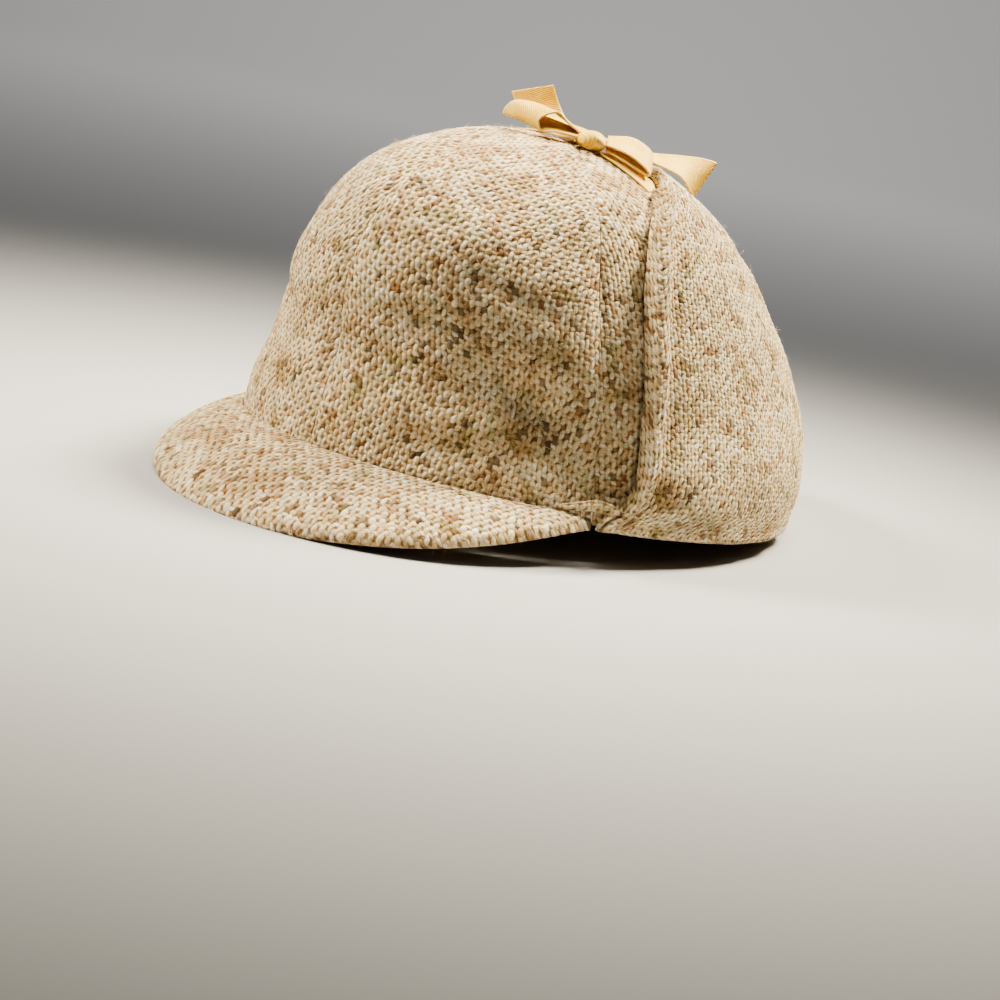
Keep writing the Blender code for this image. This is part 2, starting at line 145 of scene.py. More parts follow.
# The spacing of the surfaces: the finest in front, then the left side, the hidden right side and the back,
# which the flaps cover; the widest that still shows the yarns; how many outer cells lie over an inner one
FINE_CELL = 0.00054
SIDE_CELL = 0.00058
FAR_CELL = 0.00066
PLAIN_CELL = 0.0012
RELIEF_CELL = 0.0007
INNER_SHARE = 4

# Crown sections: height as a share of CROWN_HEIGHT, then the half width, front reach and back reach
# as shares of RIM_HALF_WIDTH, RIM_FRONT and RIM_BACK
CROWN_SECTIONS = np.array([
    # height, width, front, back
    (0.000, 1.000, 1.000, 1.000),
    (0.150, 0.985, 0.988, 1.055),
    (0.300, 0.920, 0.957, 1.055),
    (0.465, 0.850, 0.970, 0.950),
    (0.610, 0.772, 0.928, 0.792),
    (0.750, 0.687, 0.821, 0.608),
    (0.865, 0.555, 0.655, 0.402),
    (0.950, 0.357, 0.423, 0.210),
    (0.990, 0.175, 0.206, 0.090),
    (1.000, 0.000, 0.000, 0.000),
])

# Soft folds of the crown: where each is deepest (angle, share of the height), how far it spreads
# (degrees, share of the height), how much it climbs towards the back, and its share of DENT_DEPTH
CROWN_DENTS = (
    # angle, height, spread, rise, climb, depth
    (48.0, 0.270, 15.0, 0.120, -0.0040, 0.80),
    (26.0, 0.420, 12.0, 0.045, 0.0040, 0.20),
    (-62.0, 0.290, 14.0, 0.120, 0.0030, 0.45),
)

# Creases that only the cloth shows, in the same way, with their depth in metres (less than 0 stands out)
SOFT_FOLDS = (
    # angle, height, spread, rise, climb, depth
    (47.0, 0.290, 9.0, 0.060, -0.0030, 0.0022),
    (20.0, 0.440, 15.0, 0.032, 0.0010, 0.0014),
    (56.0, 0.140, 12.0, 0.095, 0.0, 0.0044),
    (28.0, 0.120, 13.0, 0.050, 0.0020, 0.0020),
    (17.0, 0.200, 7.0, 0.040, 0.0, -0.0008),
    (27.0, 0.640, 14.0, 0.090, 0.0, -0.0012),
    (-11.5, 0.230, 8.0, 0.050, 0.0, -0.0008),
    (40.0, 0.560, 12.0, 0.030, -0.0030, 0.0008),
    (-34.0, 0.400, 14.0, 0.040, -0.0030, 0.0010),
    (-75.0, 0.450, 14.0, 0.050, 0.0030, 0.0010),
)

# Front edge of the left flap: share of the crown's section rows, then the angle round the crown
FLAP_FRONT_EDGE = np.array([
    # rise, angle
    (-0.050, 62.5),
    (0.000, 61.4),
    (0.050, 65.6),
    (0.100, 67.2),
    (0.200, 68.2),
    (0.300, 69.7),
    (0.400, 70.7),
    (0.500, 71.8),
    (0.600, 75.0),
    (0.700, 83.0),
])

# Top edge of the flap from its tip to the centre of the back: share of the way, then the rise
FLAP_TOP_EDGE = np.array([
    # way, rise
    (0.00, 0.700),
    (0.25, 0.765),
    (0.60, 0.775),
    (1.00, 0.725),
])

# The bow's ribbons. Each row: its middle's place in plan, left and back of the knot, and its lift off the
# crown's form, all as shares of RIBBON_WIDTH; the direction that its width takes there; its share of the
# full width. A first row, and a loop's last row, gives only the side of the knot that the ribbon leaves
BOW_RIBBONS = {
    "ribbon_loop_front": (
        # left, back, lift, across x, across y, across z, width
        (-0.34, -0.24, 0.30, 0.73, -0.65, -0.15, 0.35),
        (-0.66, -0.44, 0.48, 0.89, -0.38, -0.22, 0.70),
        (-0.97, -0.70, 0.62, 0.98, -0.10, -0.10, 0.92),
        (-1.20, -0.98, 0.56, 0.98, 0.12, -0.12, 1.00),
        (-1.29, -1.12, 0.35, 0.98, 0.15, 0.00, 1.00),
        (-1.16, -1.02, 0.22, 0.97, 0.04, -0.20, 0.97),
        (-0.80, -0.72, 0.29, 0.92, -0.20, -0.36, 0.80),
        (-0.30, -0.26, 0.26, 0.80, -0.50, -0.32, 0.52),
    ),
    "ribbon_loop_left": (
        (0.36, 0.18, 0.34, 0.60, -0.72, -0.34, 0.60),
        (0.72, 0.46, 0.46, 0.58, -0.70, -0.42, 0.90),
        (1.03, 0.72, 0.44, 0.58, -0.70, -0.44, 1.00),
        (1.17, 0.85, 0.34, 0.58, -0.70, -0.44, 1.00),
        (1.03, 0.74, 0.28, 0.58, -0.70, -0.44, 1.00),
        (0.72, 0.49, 0.26, 0.58, -0.70, -0.42, 0.88),
        (0.38, 0.24, 0.22, 0.60, -0.72, -0.34, 0.60),
    ),
    "ribbon_tail_front": (
        (-0.45, 0.20, 0.28, 0.30, 0.90, 0.10, 0.40),
        (-1.14, 0.38, 0.31, 0.30, 0.95, 0.00, 0.80),
        (-1.86, 0.52, 0.35, 0.50, 0.85, 0.10, 1.00),
        (-2.28, 0.60, 0.62, 0.66, 0.68, 0.25, 1.00),
        (-2.58, 0.53, 1.10, 0.68, 0.62, 0.38, 1.00),
    ),
    "ribbon_tail_left": (
        (-0.08, 0.42, 0.24, 0.95, 0.10, 0.00, 0.40),
        (-0.10, 1.03, 0.34, 0.95, -0.15, -0.05, 0.60),
        (0.18, 1.80, 0.47, 0.84, -0.50, -0.20, 0.78),
        (0.78, 2.45, 0.83, 0.60, -0.58, -0.50, 0.92),
        (1.23, 2.97, 1.04, -0.15, -0.40, -0.90, 1.00),
    ),
}

# Step of slopes, in degrees and as a share of the rise; halvings of a search; points of a measured curve
STEP = 1e-3
HALVINGS = 50
CURVE_POINTS = 400


# Curves and forms

def cubic_through(padded, share):
    """Smooth curve through rows that have one more row at each end, share 0 to 1 over evenly counted rows.

    Each stretch is the cubic whose end slopes are half the step between the rows on either side.
    """
    place = np.clip(share, 0.0, 1.0) * (len(padded) - 3)
    first = np.minimum(place.astype(int), len(padded) - 4)
    part = (place - first)[..., None]
    a, b, c, d = (padded[first + k] for k in range(4))
    bend = 2 * a - 5 * b + 4 * c - d
    twist = 3 * b - a - 3 * c + d
    return b + 0.5 * part * ((c - a) + part * (bend + part * twist))


def smooth_rows(rows, share):
    """cubic_through for a table that leaves its first and last rows straight."""
    rows = np.asarray(rows, float)
    padded = np.vstack([2 * rows[0] - rows[1], rows, 2 * rows[-1] - rows[-2]])
    return cubic_through(padded, share)


def table_value(rows, key):
    """Second column of a table where its first column has the value key, smoothly between the rows."""
    share = np.interp(key, rows[:, 0], np.linspace(0.0, 1.0, len(rows)))
    return smooth_rows(rows[:, 1:], share)[..., 0]


def unit(vectors):
    """The same directions with length one."""
    return vectors / np.linalg.norm(vectors, axis=-1, keepdims=True)


def crown_form(angle, rise):
    """Point of the crown's outer form: half an ellipse ahead and half behind, as wide as its section."""
    angle, rise = np.broadcast_arrays(np.radians(angle), np.asarray(rise, float))
    top = CROWN_SECTIONS[-2] * (1, -1, -1, -1)
    low = 2 * CROWN_SECTIONS[0] - CROWN_SECTIONS[1]
    padded = np.vstack([low, CROWN_SECTIONS, top])
    height, width, front, back = np.moveaxis(cubic_through(padded, rise), -1, 0)
    reach = np.where(np.cos(angle) > 0, front * RIM_FRONT, back * RIM_BACK)
    return np.stack([
        width * RIM_HALF_WIDTH * np.sin(angle),
        -reach * np.cos(angle) - CROWN_LEAN * height**2,
        (height + np.minimum(rise, 0.0)) * CROWN_HEIGHT - HEM_DEPTH,
    ], -1)


def form_pull(angle, rise):
    """How far the form moves for one degree round it, in metres."""
    step = crown_form(angle + STEP, rise) - crown_form(angle - STEP, rise)
    return np.linalg.norm(step, axis=-1) / (2 * STEP)


def crown_normal(angle, rise):
    """Outward direction of the form: across the step round it and the step up it."""
    around = crown_form(angle + STEP, rise) - crown_form(angle - STEP, rise)
    upward = crown_form(angle, np.minimum(rise + STEP, 1.0)) - crown_form(angle, rise - STEP)
    return unit(np.cross(around, upward))


def off_crown(angle, rise, out):
    """Point that stands off the crown's form by out, along its outward direction."""
    angle, rise = np.broadcast_arrays(angle, np.asarray(rise, float))
    return crown_form(angle, rise) + crown_normal(angle, rise) * np.asarray(out)[..., None]


def dent_depth(angle, rise):
    """How far the folds go in: round hollows that fade as a bell curve, from the tables of folds."""
    height = (crown_form(angle, rise)[..., 2] + HEM_DEPTH) / CROWN_HEIGHT
    depth = np.zeros(height.shape)
    for rows, unit_depth in ((CROWN_DENTS, DENT_DEPTH), (SOFT_FOLDS, 1.0)):
        for middle, level, spread, tall, climb, share in rows:
            along = (angle - middle) / spread
            up = (height - level - climb * (angle - middle)) / tall
            depth += share * unit_depth * np.exp(-along**2 - up**2)
    return depth


def crown_at(x, y):
    """Angle and rise where the crown's form lies over the points x, y, by halving the range of rises."""
    low, high = np.zeros_like(x), np.ones_like(x)
    for _ in range(HALVINGS):
        rise = (low + high) / 2
        side, middle, _ = np.moveaxis(crown_form(90.0, rise), -1, 0)
        front, back = crown_form(0.0, rise)[..., 1], crown_form(180.0, rise)[..., 1]
        reach = np.where(y < middle, middle - front, back - middle)
        inside = (x / side)**2 + ((y - middle) / reach)**2 < 1
        low, high = np.where(inside, rise, low), np.where(inside, high, rise)
    return np.degrees(np.arctan2(x / side, (middle - y) / reach)), rise


def wander(x, y, seed):
    """Soft random hills of height about one and width about one: lattice values joined by smooth steps."""
    lattice = np.random.default_rng(seed).uniform(-1.0, 1.0, (LATTICE, LATTICE))
    i, j = np.floor(x).astype(int), np.floor(y).astype(int)
    fx, fy = x - i, y - j
    fx, fy = fx * fx * (3 - 2 * fx), fy * fy * (3 - 2 * fy)
    i, j, i_next, j_next = i % LATTICE, j % LATTICE, (i + 1) % LATTICE, (j + 1) % LATTICE
    a, b, c, d = lattice[i, j], lattice[i_next, j], lattice[i, j_next], lattice[i_next, j_next]
    return (a + (b - a) * fx) * (1 - fy) + (c + (d - c) * fx) * fy


def weave_relief(u, v):
    """Height of a plain weave, 0 to 1, as slanted oval beads where one yarn rides over the other.

    u and v count yarns. An upright yarn i shows at every second row, where i + j is even, and a cross yarn
    j at the places between. Each bead is a bell curve along and across its yarn.
    """
    i, j = np.round(u), np.round(v)
    along = v - (i + 2 * np.round((v - i) / 2))
    width, length = UPRIGHT_BEAD
    upright = np.exp(-((u - i - BEAD_SLANT * along) / width)**2 - (along / length)**2)
    along = u - (j + 1 + 2 * np.round((u - j - 1) / 2))
    width, length = CROSS_BEAD
    across = CROSS_HEIGHT * np.exp(-((v - j + BEAD_SLANT * along) / width)**2 - (along / length)**2)
    return np.maximum(upright, across)


# Meshes

def grid_faces(rows, columns, first=0):
    """Quads of a grid of points, wound so that columns then rows turn outwards."""
    corner = first + np.arange(rows - 1)[:, None] * columns + np.arange(columns - 1)
    return np.stack([corner, corner + 1, corner + columns + 1, corner + columns], -1).reshape(-1, 4)


def ring_of(rows, columns):
    """Indices round a grid's border, counted as grid_faces winds, without coming back to the first."""
    index = np.arange(rows * columns).reshape(rows, columns)
    return np.concatenate([index[0], index[1:, -1], index[-1, -2::-1], index[-2:0:-1, 0]])


def cloth_wall(outer, inner, share):
    """Closed wall between a fine outer grid and an inner grid with one cell for share fine cells.

    Its rim has one face for each inner cell, with the fine points of the outer border along its one side.
    """
    count = outer.shape[0] * outer.shape[1]
    rim = ring_of(*outer.shape[:2])
    low = ring_of(*inner.shape[:2]) + count
    rim_rows = rim.reshape(-1, share)
    rim_end = np.roll(rim, -share).reshape(-1, share)[:, :1]
    sides = np.concatenate([low[:, None], np.roll(low, -1)[:, None], rim_end, rim_rows[:, ::-1]], 1)
    quads = np.concatenate([grid_faces(*outer.shape[:2]), grid_faces(*inner.shape[:2], count)[:, ::-1]])
    points = np.concatenate([outer.reshape(-1, 3), inner.reshape(-1, 3)])
    return points, quads, sides


def placed(points):
    """Points of the rim frame as the hat rests: leaned back, and pressed flat where they meet the floor."""
    lean = np.radians(HAT_LEAN)
    x, y, z = np.moveaxis(points, -1, 0)
    back = y * np.cos(lean) - z * np.sin(lean) + HAT_BACK
    up = z * np.cos(lean) + y * np.sin(lean) + HAT_UP
    return np.stack([x, back, np.maximum(up, 0.0)], -1)


def into_scene(name, data):
    """A new object in the scene, at the world origin, with that mesh, light or camera."""
    made = bpy.data.objects.new(name, data)
    bpy.context.scene.collection.objects.link(made)
    return made


def piece(name, points, face_sets, uv, material, node):
    """A mesh piece of the hat from its points, lists of faces and a cloth coordinate for each point."""
    mesh = bpy.data.meshes.new(name)
    sizes = np.concatenate([np.full(len(faces), faces.shape[1]) for faces in face_sets])
    corners = np.concatenate([faces.ravel() for faces in face_sets]).astype(np.int32)
    starts = np.concatenate([[0], np.cumsum(sizes)[:-1]]).astype(np.int32)
    mesh.vertices.add(len(points))
    mesh.vertices.foreach_set("co", placed(points).astype(np.float32).ravel())
    mesh.loops.add(len(corners))
    mesh.loops.foreach_set("vertex_index", corners)
    mesh.polygons.add(len(sizes))
    mesh.polygons.foreach_set("loop_start", starts)
    mesh.update(calc_edges=True)
    layer = mesh.uv_layers.new(name="cloth")
    layer.data.foreach_set("uv", uv[corners].astype(np.float32).ravel())
    mesh.validate()
    mesh.shade_smooth()
    mesh.materials.append(material)
    made = into_scene(name, mesh)
    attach(made, "root")
    if node:
        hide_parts(node)
    return made


# Materials

class Nodes:
    """A material's node tree with short calls for the nodes that the cloths use."""

    def __init__(self, name):
        self.material = bpy.data.materials.new(name)
        self.material.use_nodes = True
        self.tree = self.material.node_tree
        self.shader = self.tree.nodes["Principled BSDF"]

    def node(self, kind, **settings):
        """A new node with its settings."""
        made = self.tree.nodes.new(kind)
        for key, value in settings.items():
            setattr(made, key, value)
        return made

    def put(self, socket, value):
        """Links a value to a socket if it is an output, or else sets it."""
        if isinstance(value, bpy.types.NodeSocket):
            self.tree.links.new(value, socket)
        else:
            socket.default_value = value

    def math(self, operation, *values):
        """Result of a math node."""
        made = self.node("ShaderNodeMath", operation=operation)
        for socket, value in zip(made.inputs, values):
            self.put(socket, value)
        return made.outputs[0]

    def vector(self, x, y, z=0.0):
        """Vector with those components."""
        made = self.node("ShaderNodeCombineXYZ")
        for socket, value in zip(made.inputs, (x, y, z)):
            self.put(socket, value)
        return made.outputs[0]

    def between(self, value, low, high, first=0.0, last=1.0):
        """Smooth step of a value from low to high, giving first to last."""
        made = self.node("ShaderNodeMapRange", interpolation_type="SMOOTHSTEP")
        names = ("Value", "From Min", "From Max", "To Min", "To Max")
        for key, number in zip(names, (value, low, high, first, last)):
            self.put(made.inputs[key], number)
        return made.outputs[0]

    def noise(self, vector, scale, detail=2.0):
        """Smooth noise from about 0.3 to 0.7."""
        made = self.node("ShaderNodeTexNoise", noise_dimensions="3D")
        self.put(made.inputs["Vector"], vector)
        self.put(made.inputs["Scale"], scale)
        self.put(made.inputs["Detail"], detail)
        return made.outputs["Fac"]

    def chance(self, vector):
        """An even random number from 0 to 1 for each vector."""
        made = self.node("ShaderNodeTexWhiteNoise", noise_dimensions="3D")
        self.put(made.inputs["Vector"], vector)
        return made.outputs["Value"]

    def mix(self, share, first, second, blend="MIX"):
        """Colour mixed from the first to the second by a share."""
        made = self.node("ShaderNodeMix", data_type="RGBA", blend_type=blend)
        self.put(made.inputs["Factor"], share)
        self.put(made.inputs[6], first)
        self.put(made.inputs[7], second)
        return made.outputs[2]

    def ramp(self, value, stops, interpolation="LINEAR"):
        """Colour ramp with (place, colour) stops."""
        made = self.node("ShaderNodeValToRGB")
        made.color_ramp.interpolation = interpolation
        elements = made.color_ramp.elements
        while len(elements) > 1:
            elements.remove(elements[-1])
        for number, (place, shade) in enumerate(stops):
            element = elements[0] if number == 0 else elements.new(place)
            element.position = place
            element.color = shade
        self.put(made.inputs["Fac"], value)
        return made.outputs["Color"]

    def bump(self, height, distance):
        """Normal tilted by a height, which counts in units of distance."""
        made = self.node("ShaderNodeBump")
        made.inputs["Distance"].default_value = distance
        self.put(made.inputs["Height"], height)
        return made.outputs["Normal"]

    def cloth(self):
        """The two cloth coordinates."""
        split = self.node("ShaderNodeSeparateXYZ")
        self.put(split.inputs[0], self.node("ShaderNodeUVMap", uv_map="cloth").outputs["UV"])
        return split.outputs[0], split.outputs[1]

    def finish(self, values):
        """Sets the shader's plain inputs and gives the material."""
        for key, value in values.items():
            self.shader.inputs[key].default_value = value
        return self.material


def colour(red, green, blue):
    """Linear colour from sRGB values of 0 to 255."""
    share = np.array([red, green, blue]) / 255
    linear = np.where(share <= 0.04045, share / 12.92, ((share + 0.055) / 1.055)**2.4)
    return (*linear.tolist(), 1.0)


# Tweed yarns: share of the beads up to which each shade is taken, and the shade
YARN_SHADES = (
    (0.00, colour(250, 234, 198)),
    (0.30, colour(255, 246, 218)),
    (0.48, colour(238, 216, 174)),
    (0.64, colour(250, 232, 190)),
    (0.78, colour(214, 194, 156)),
    (0.87, colour(190, 162, 124)),
    (0.93, colour(228, 224, 192)),
    (0.97, colour(158, 140, 112)),
)
FLECK_SHADES = (
    (0.00, colour(144, 82, 46)),
    (0.26, colour(106, 74, 50)),
    (0.54, colour(72, 58, 46)),
    (0.78, colour(176, 120, 72)),
)
# Painted shade: the colour that darkens the beads' low sides and the gaps between them, where shade falls
PAINTED_GAP_SHADE = colour(170, 148, 118)
FIBRE_SHADE = colour(158, 132, 102)
TONE_SHADE = colour(178, 154, 124)

# Patches where the yarns take a tint: noise seed, scale and detail, its range, the most tint, and the tint
PATCHES = (
    # seed, scale, detail, low, high, most, tint
    (20.0, 0.30, 2.0, 0.56, 0.70, 0.55, colour(216, 180, 140)),
    (40.0, 0.24, 2.0, 0.56, 0.70, 0.75, colour(180, 184, 150)),
    (60.0, 0.12, 3.0, 0.52, 0.70, 0.60, colour(198, 174, 142)),
)

# The material's beads, in yarns: half length and least half width of upright and cross ones, the most
# that chance adds to the width, the cross beads' height, and the power that rounds the domes
UPRIGHT_DOME = (0.90, 0.44)
CROSS_DOME = (0.76, 0.38)
DOME_CHANCE = 0.22
CROSS_DOME_HEIGHT = 0.80
DOME_POWER = 0.75


def tweed(name):
    """Plain-woven tweed on the cloth coordinates, which count yarns: beads, gaps, flecks, patches, fibres.

    The beads are those of weave_relief as domes, with painted shade down their low sides and in the gaps.
    A bead is known by the numbers of its two yarns and by which of them is on top, and random numbers for
    it pick its shade and its size.
    """
    n = Nodes(name)
    place = n.node("ShaderNodeTexCoord").outputs["Object"]
    u, v = n.cloth()
    i, j = n.math("ROUND", u), n.math("ROUND", v)

    def nearest_bead(count, start):
        """Number of the bead nearest to a count, of those that lie two apart from start."""
        half = n.math("ROUND", n.math("MULTIPLY", n.math("SUBTRACT", count, start), 0.5))
        return n.math("MULTIPLY_ADD", half, 2.0, start)

    def bead(along, across, lean, length, width):
        """Height of a dome whose middle line leans, as one less the squares of the ways off its middle."""
        off = n.math("MULTIPLY_ADD", along, lean, across)
        round_off = n.math("POWER", n.math("DIVIDE", off, width), 2.0)
        round_along = n.math("POWER", n.math("DIVIDE", along, length), 2.0)
        rest = n.math("SUBTRACT", n.math("SUBTRACT", 1.0, round_off), round_along)
        return n.math("POWER", n.math("MAXIMUM", rest, 0.0), DOME_POWER)

    row = nearest_bead(v, i)
    length, least = UPRIGHT_DOME
    width = n.math("MULTIPLY_ADD", n.chance(n.vector(i, row, 31.0)), DOME_CHANCE, least)
    upright = bead(n.math("SUBTRACT", v, row), n.math("SUBTRACT", u, i), -BEAD_SLANT, length, width)
    column = nearest_bead(u, n.math("ADD", j, 1.0))
    length, least = CROSS_DOME
    width = n.math("MULTIPLY_ADD", n.chance(n.vector(column, j, 32.0)), DOME_CHANCE, least)
    across = bead(n.math("SUBTRACT", u, column), n.math("SUBTRACT", v, j), BEAD_SLANT, length, width)
    across = n.math("MULTIPLY", across, CROSS_DOME_HEIGHT)
    height = n.math("MAXIMUM", upright, across)
    on_top = n.math("GREATER_THAN", upright, across)
    yarn_u = n.math("MULTIPLY_ADD", on_top, n.math("SUBTRACT", i, column), column)
    yarn_v = n.math("MULTIPLY_ADD", on_top, n.math("SUBTRACT", row, j), j)

    fibre = n.noise(place, 2400.0, 4.0)
    shade = n.ramp(n.chance(n.vector(yarn_u, yarn_v, on_top)), YARN_SHADES, "CONSTANT")
    tone = n.between(n.chance(n.vector(yarn_u, yarn_v, 6.0)), 0.0, 1.0, 0.0, 0.35)
    shade = n.mix(tone, shade, TONE_SHADE, "MULTIPLY")
    for seed, scale, detail, low, high, most, tint in PATCHES:
        patch = n.between(n.noise(n.vector(yarn_u, yarn_v, seed), scale, detail), low, high, 0.0, most)
        shade = n.mix(patch, shade, tint, "MULTIPLY")

    crowd = n.noise(n.vector(yarn_u, yarn_v, 80.0), 0.22, 1.0)
    luck = n.math("MULTIPLY_ADD", crowd, 0.20, n.chance(n.vector(yarn_u, yarn_v, 7.0)))
    fleck = n.between(luck, 1.070, 1.074)
    tuft = (n.math("ROUND", n.math("MULTIPLY", number, 0.25)) for number in (yarn_u, yarn_v))
    kind = n.chance(n.vector(*tuft, 5.0))
    shade = n.mix(n.math("MULTIPLY", fleck, 0.78), shade, n.ramp(kind, FLECK_SHADES, "CONSTANT"))

    # Painted shade: the lower the cloth lies within a bead, the darker, down to full shade in the gaps
    painted_gap_shade = n.between(height, 0.0, 0.85, 1.0, 0.0)
    shade = n.mix(painted_gap_shade, shade, PAINTED_GAP_SHADE, "MULTIPLY")
    shade = n.mix(n.between(fibre, 0.32, 0.66, 0.55, 0.0), shade, FIBRE_SHADE, "MULTIPLY")
    n.put(n.shader.inputs["Base Color"], shade)
    relief = n.math("MULTIPLY_ADD", fibre, 0.45, height)
    n.put(n.shader.inputs["Normal"], n.bump(relief, 0.00040))
    return n.finish({"Roughness": 0.95, "Specular IOR Level": 0.12, "Sheen Weight": 0.20,
                     "Sheen Roughness": 0.5, "Sheen Tint": colour(255, 232, 196)})


# The ribbon's ribs: how far apart they lie, the count of its threads, and its corded edge as a share of
# the width from the middle
RIB_PITCH = 0.0007
THREAD_COUNT = 46
EDGE_START, EDGE_FULL = 0.455, 0.475


def grosgrain(name):
    """Ribbed ribbon: ribs across its width, each a round ridge, with a bright corded edge on either side.

    The hollows between the ribs carry painted shade.
    The cloth coordinates are metres along the ribbon, and its width as 0 to 1.
    """
    n = Nodes(name)
    place = n.node("ShaderNodeTexCoord").outputs["Object"]
    along, across = n.cloth()
    turn = n.math("MULTIPLY", along, 2 * np.pi / RIB_PITCH)
    rib = n.math("COSINE", turn)
    thread = n.math("COSINE", n.math("MULTIPLY", across, 2 * np.pi * THREAD_COUNT))
    edge = n.math("ABSOLUTE", n.math("SUBTRACT", across, 0.5))
    selvage = n.between(edge, EDGE_START, EDGE_FULL)
    tone = n.noise(place, 160.0, 2.0)
    shade = n.mix(n.between(tone, 0.35, 0.65), colour(242, 196, 68), colour(250, 214, 94))
    # Painted shade: the hollows between the ribs are darker and warmer
    shade = n.mix(n.between(rib, -1.0, 0.6, 0.42, 0.0), shade, colour(200, 152, 78), "MULTIPLY")
    shade = n.mix(n.math("MULTIPLY", selvage, 0.5), shade, colour(252, 222, 150))
    n.put(n.shader.inputs["Base Color"], shade)
    flat = n.math("SUBTRACT", 1.0, selvage)
    height = n.math("MULTIPLY_ADD", n.math("MULTIPLY", rib, flat), 1.0, n.math("MULTIPLY", selvage, 1.2))
    height = n.math("MULTIPLY_ADD", thread, 0.12, height)
    n.put(n.shader.inputs["Normal"], n.bump(height, 0.00005))
    return n.finish({"Roughness": 0.52, "Specular IOR Level": 0.35, "Sheen Weight": 0.25,
                     "Sheen Roughness": 0.4})


# The crown

def row_lengths(points):
    """Distance along each row of a grid of points, from its first point."""
    steps = np.linalg.norm(np.diff(points, axis=1), axis=-1)
    return np.concatenate([np.zeros((len(points), 1)), np.cumsum(steps, 1)], 1)


def yarn_counts(right, up, cell, seed):
    """Cloth coordinates, in yarns, of points at those distances, with the yarns wandering a little.

    On a surface that is fine enough, each yarn also has slubs and gaps of its own.
    """
    u, v = right / YARN_PITCH, up / YARN_PITCH
    small, wide = (u / SMALL_WAVE, v / SMALL_WAVE), (u / WIDE_WAVE, v / WIDE_WAVE)
    u, v = (u + SMALL_WANDER * wander(*small, seed) + WIDE_WANDER * wander(*wide, seed + 1),
            v + SMALL_WANDER * wander(*small, seed + 2) + WIDE_WANDER * wander(*wide, seed + 3))
    if cell < RELIEF_CELL:
        i, j = np.round(u), np.round(v)
        u, v = (u + SLUB_SIDE * wander(j, u / SLUB_WAVE, seed + 4),
                v + SLUB_UP * wander(i, v / SLUB_WAVE, seed + 5))
    return np.stack([u, v], -1)


def yarn_relief(yarns, cell):
    """How high the yarns stand at those cloth coordinates, where the surface is fine enough."""
    return YARN_RELIEF * (weave_relief(yarns[..., 0], yarns[..., 1]) - 0.5) * (cell < RELIEF_CELL)


def grid_normal(points):
    """Outward direction at each point of a grid, across its columns and up its rows."""
    return unit(np.cross(np.gradient(points, axis=1), np.gradient(points, axis=0)))


def seen(points, skin):
    """Keeps a tweed piece's outer skin, from which the stray fibres of the fuzz grow."""
    skin.append((points.reshape(-1, 3), grid_normal(points).reshape(-1, 3)))


def counts_for(length, cell, share):
    """Number of cells of about that size in a length, as a whole number of share."""
    return max(int(round(length / cell / share)), 1) * share


def crown_panel(name, start, end, cell, seed, material, skin):
    """One crown panel: it dips into its seams and folds, and its yarns run straight up its middle.

    Across, the cloth coordinate is the way round from the panel's middle line, and up, the way up that
    line, as in the flat gore that the panel is cut from.
    """
    share = INNER_SHARE
    tip = crown_at(np.array(TIP_RADIUS), np.array(-CROWN_LEAN))[1]
    middle = (start + end) / 2
    fine = np.linspace(0.0, tip, CURVE_POINTS)
    climb = row_lengths(crown_form(middle, fine)[None])[0]
    rows = counts_for(climb[-1], cell, share)
    columns = counts_for((end - start) * form_pull(middle, WIDEST_RISE), cell, share)
    up = np.linspace(0.0, climb[-1], rows + 1)
    rise = np.interp(up, climb, fine)[:, None]
    trim_start = SEAM_GAP / 2 / form_pull(start, rise)
    trim_end = SEAM_GAP / 2 / form_pull(end, rise)
    across = np.linspace(0.0, 1.0, columns + 1)[None, :]
    angle = (start + trim_start) * (1 - across) + (end - trim_end) * across
    from_seam = np.minimum(angle - start, end - angle) * form_pull(angle, rise)
    dip = SEAM_DIP * np.exp(-(from_seam / SEAM_SOFTNESS)**2) + dent_depth(angle, rise)
    form = crown_form(angle, rise)
    right = row_lengths(form)
    right = right - right[:, columns // 2][:, None]
    yarns = yarn_counts(right, up[:, None] + 0 * right, cell, seed)
    soft = CROWN_SOFT * wander(right / CROWN_SOFT_WAVE, up[:, None] / CROWN_SOFT_WAVE, seed + 7)
    fade = np.clip(from_seam / SEAM_FADE, 0.0, 1.0)
    outer = off_crown(angle, rise, (yarn_relief(yarns, cell) + soft) * fade - dip)
    seen(outer, skin)
    inner = off_crown(angle, rise, -dip - CROWN_WALL)[::share, ::share]
    points, quads, sides = cloth_wall(outer, inner, share)
    uv = np.concatenate([yarns.reshape(-1, 2), yarns[::share, ::share].reshape(-1, 2)])
    return piece(name, points, [quads, sides], uv, material, name)


# The peak

def peak_reach(angle):
    """How far the peak stands out at an angle: full at the front, and little at its ends."""
    share = np.clip(np.abs(angle) / PEAK_END_ANGLE, 0.0, 1.0)
    fullness = np.clip(1 - share**PEAK_FULLNESS, 0.0, 1.0)**PEAK_SQUARENESS
    return PEAK_END_REACH + (PEAK_REACH - PEAK_END_REACH) * fullness


def peak_point(angle, out):
    """Point of the peak's top: straight out from the seam and down by its drop, with a slight camber."""
    seam = crown_form(angle, 0.0)
    level = crown_normal(angle, -STEP)
    share = np.abs(angle) / PEAK_END_ANGLE
    drop = np.radians(PEAK_DROP_FRONT + (PEAK_DROP_END - PEAK_DROP_FRONT) * share**2)
    reach = peak_reach(angle)
    away = PEAK_GAP + reach * out * np.cos(drop)
    arch = PEAK_CAMBER * 4 * out * (1 - out) * reach / PEAK_REACH
    point = seam + level * away[..., None]
    point[..., 2] = arch - reach * out * np.sin(drop)
    return point


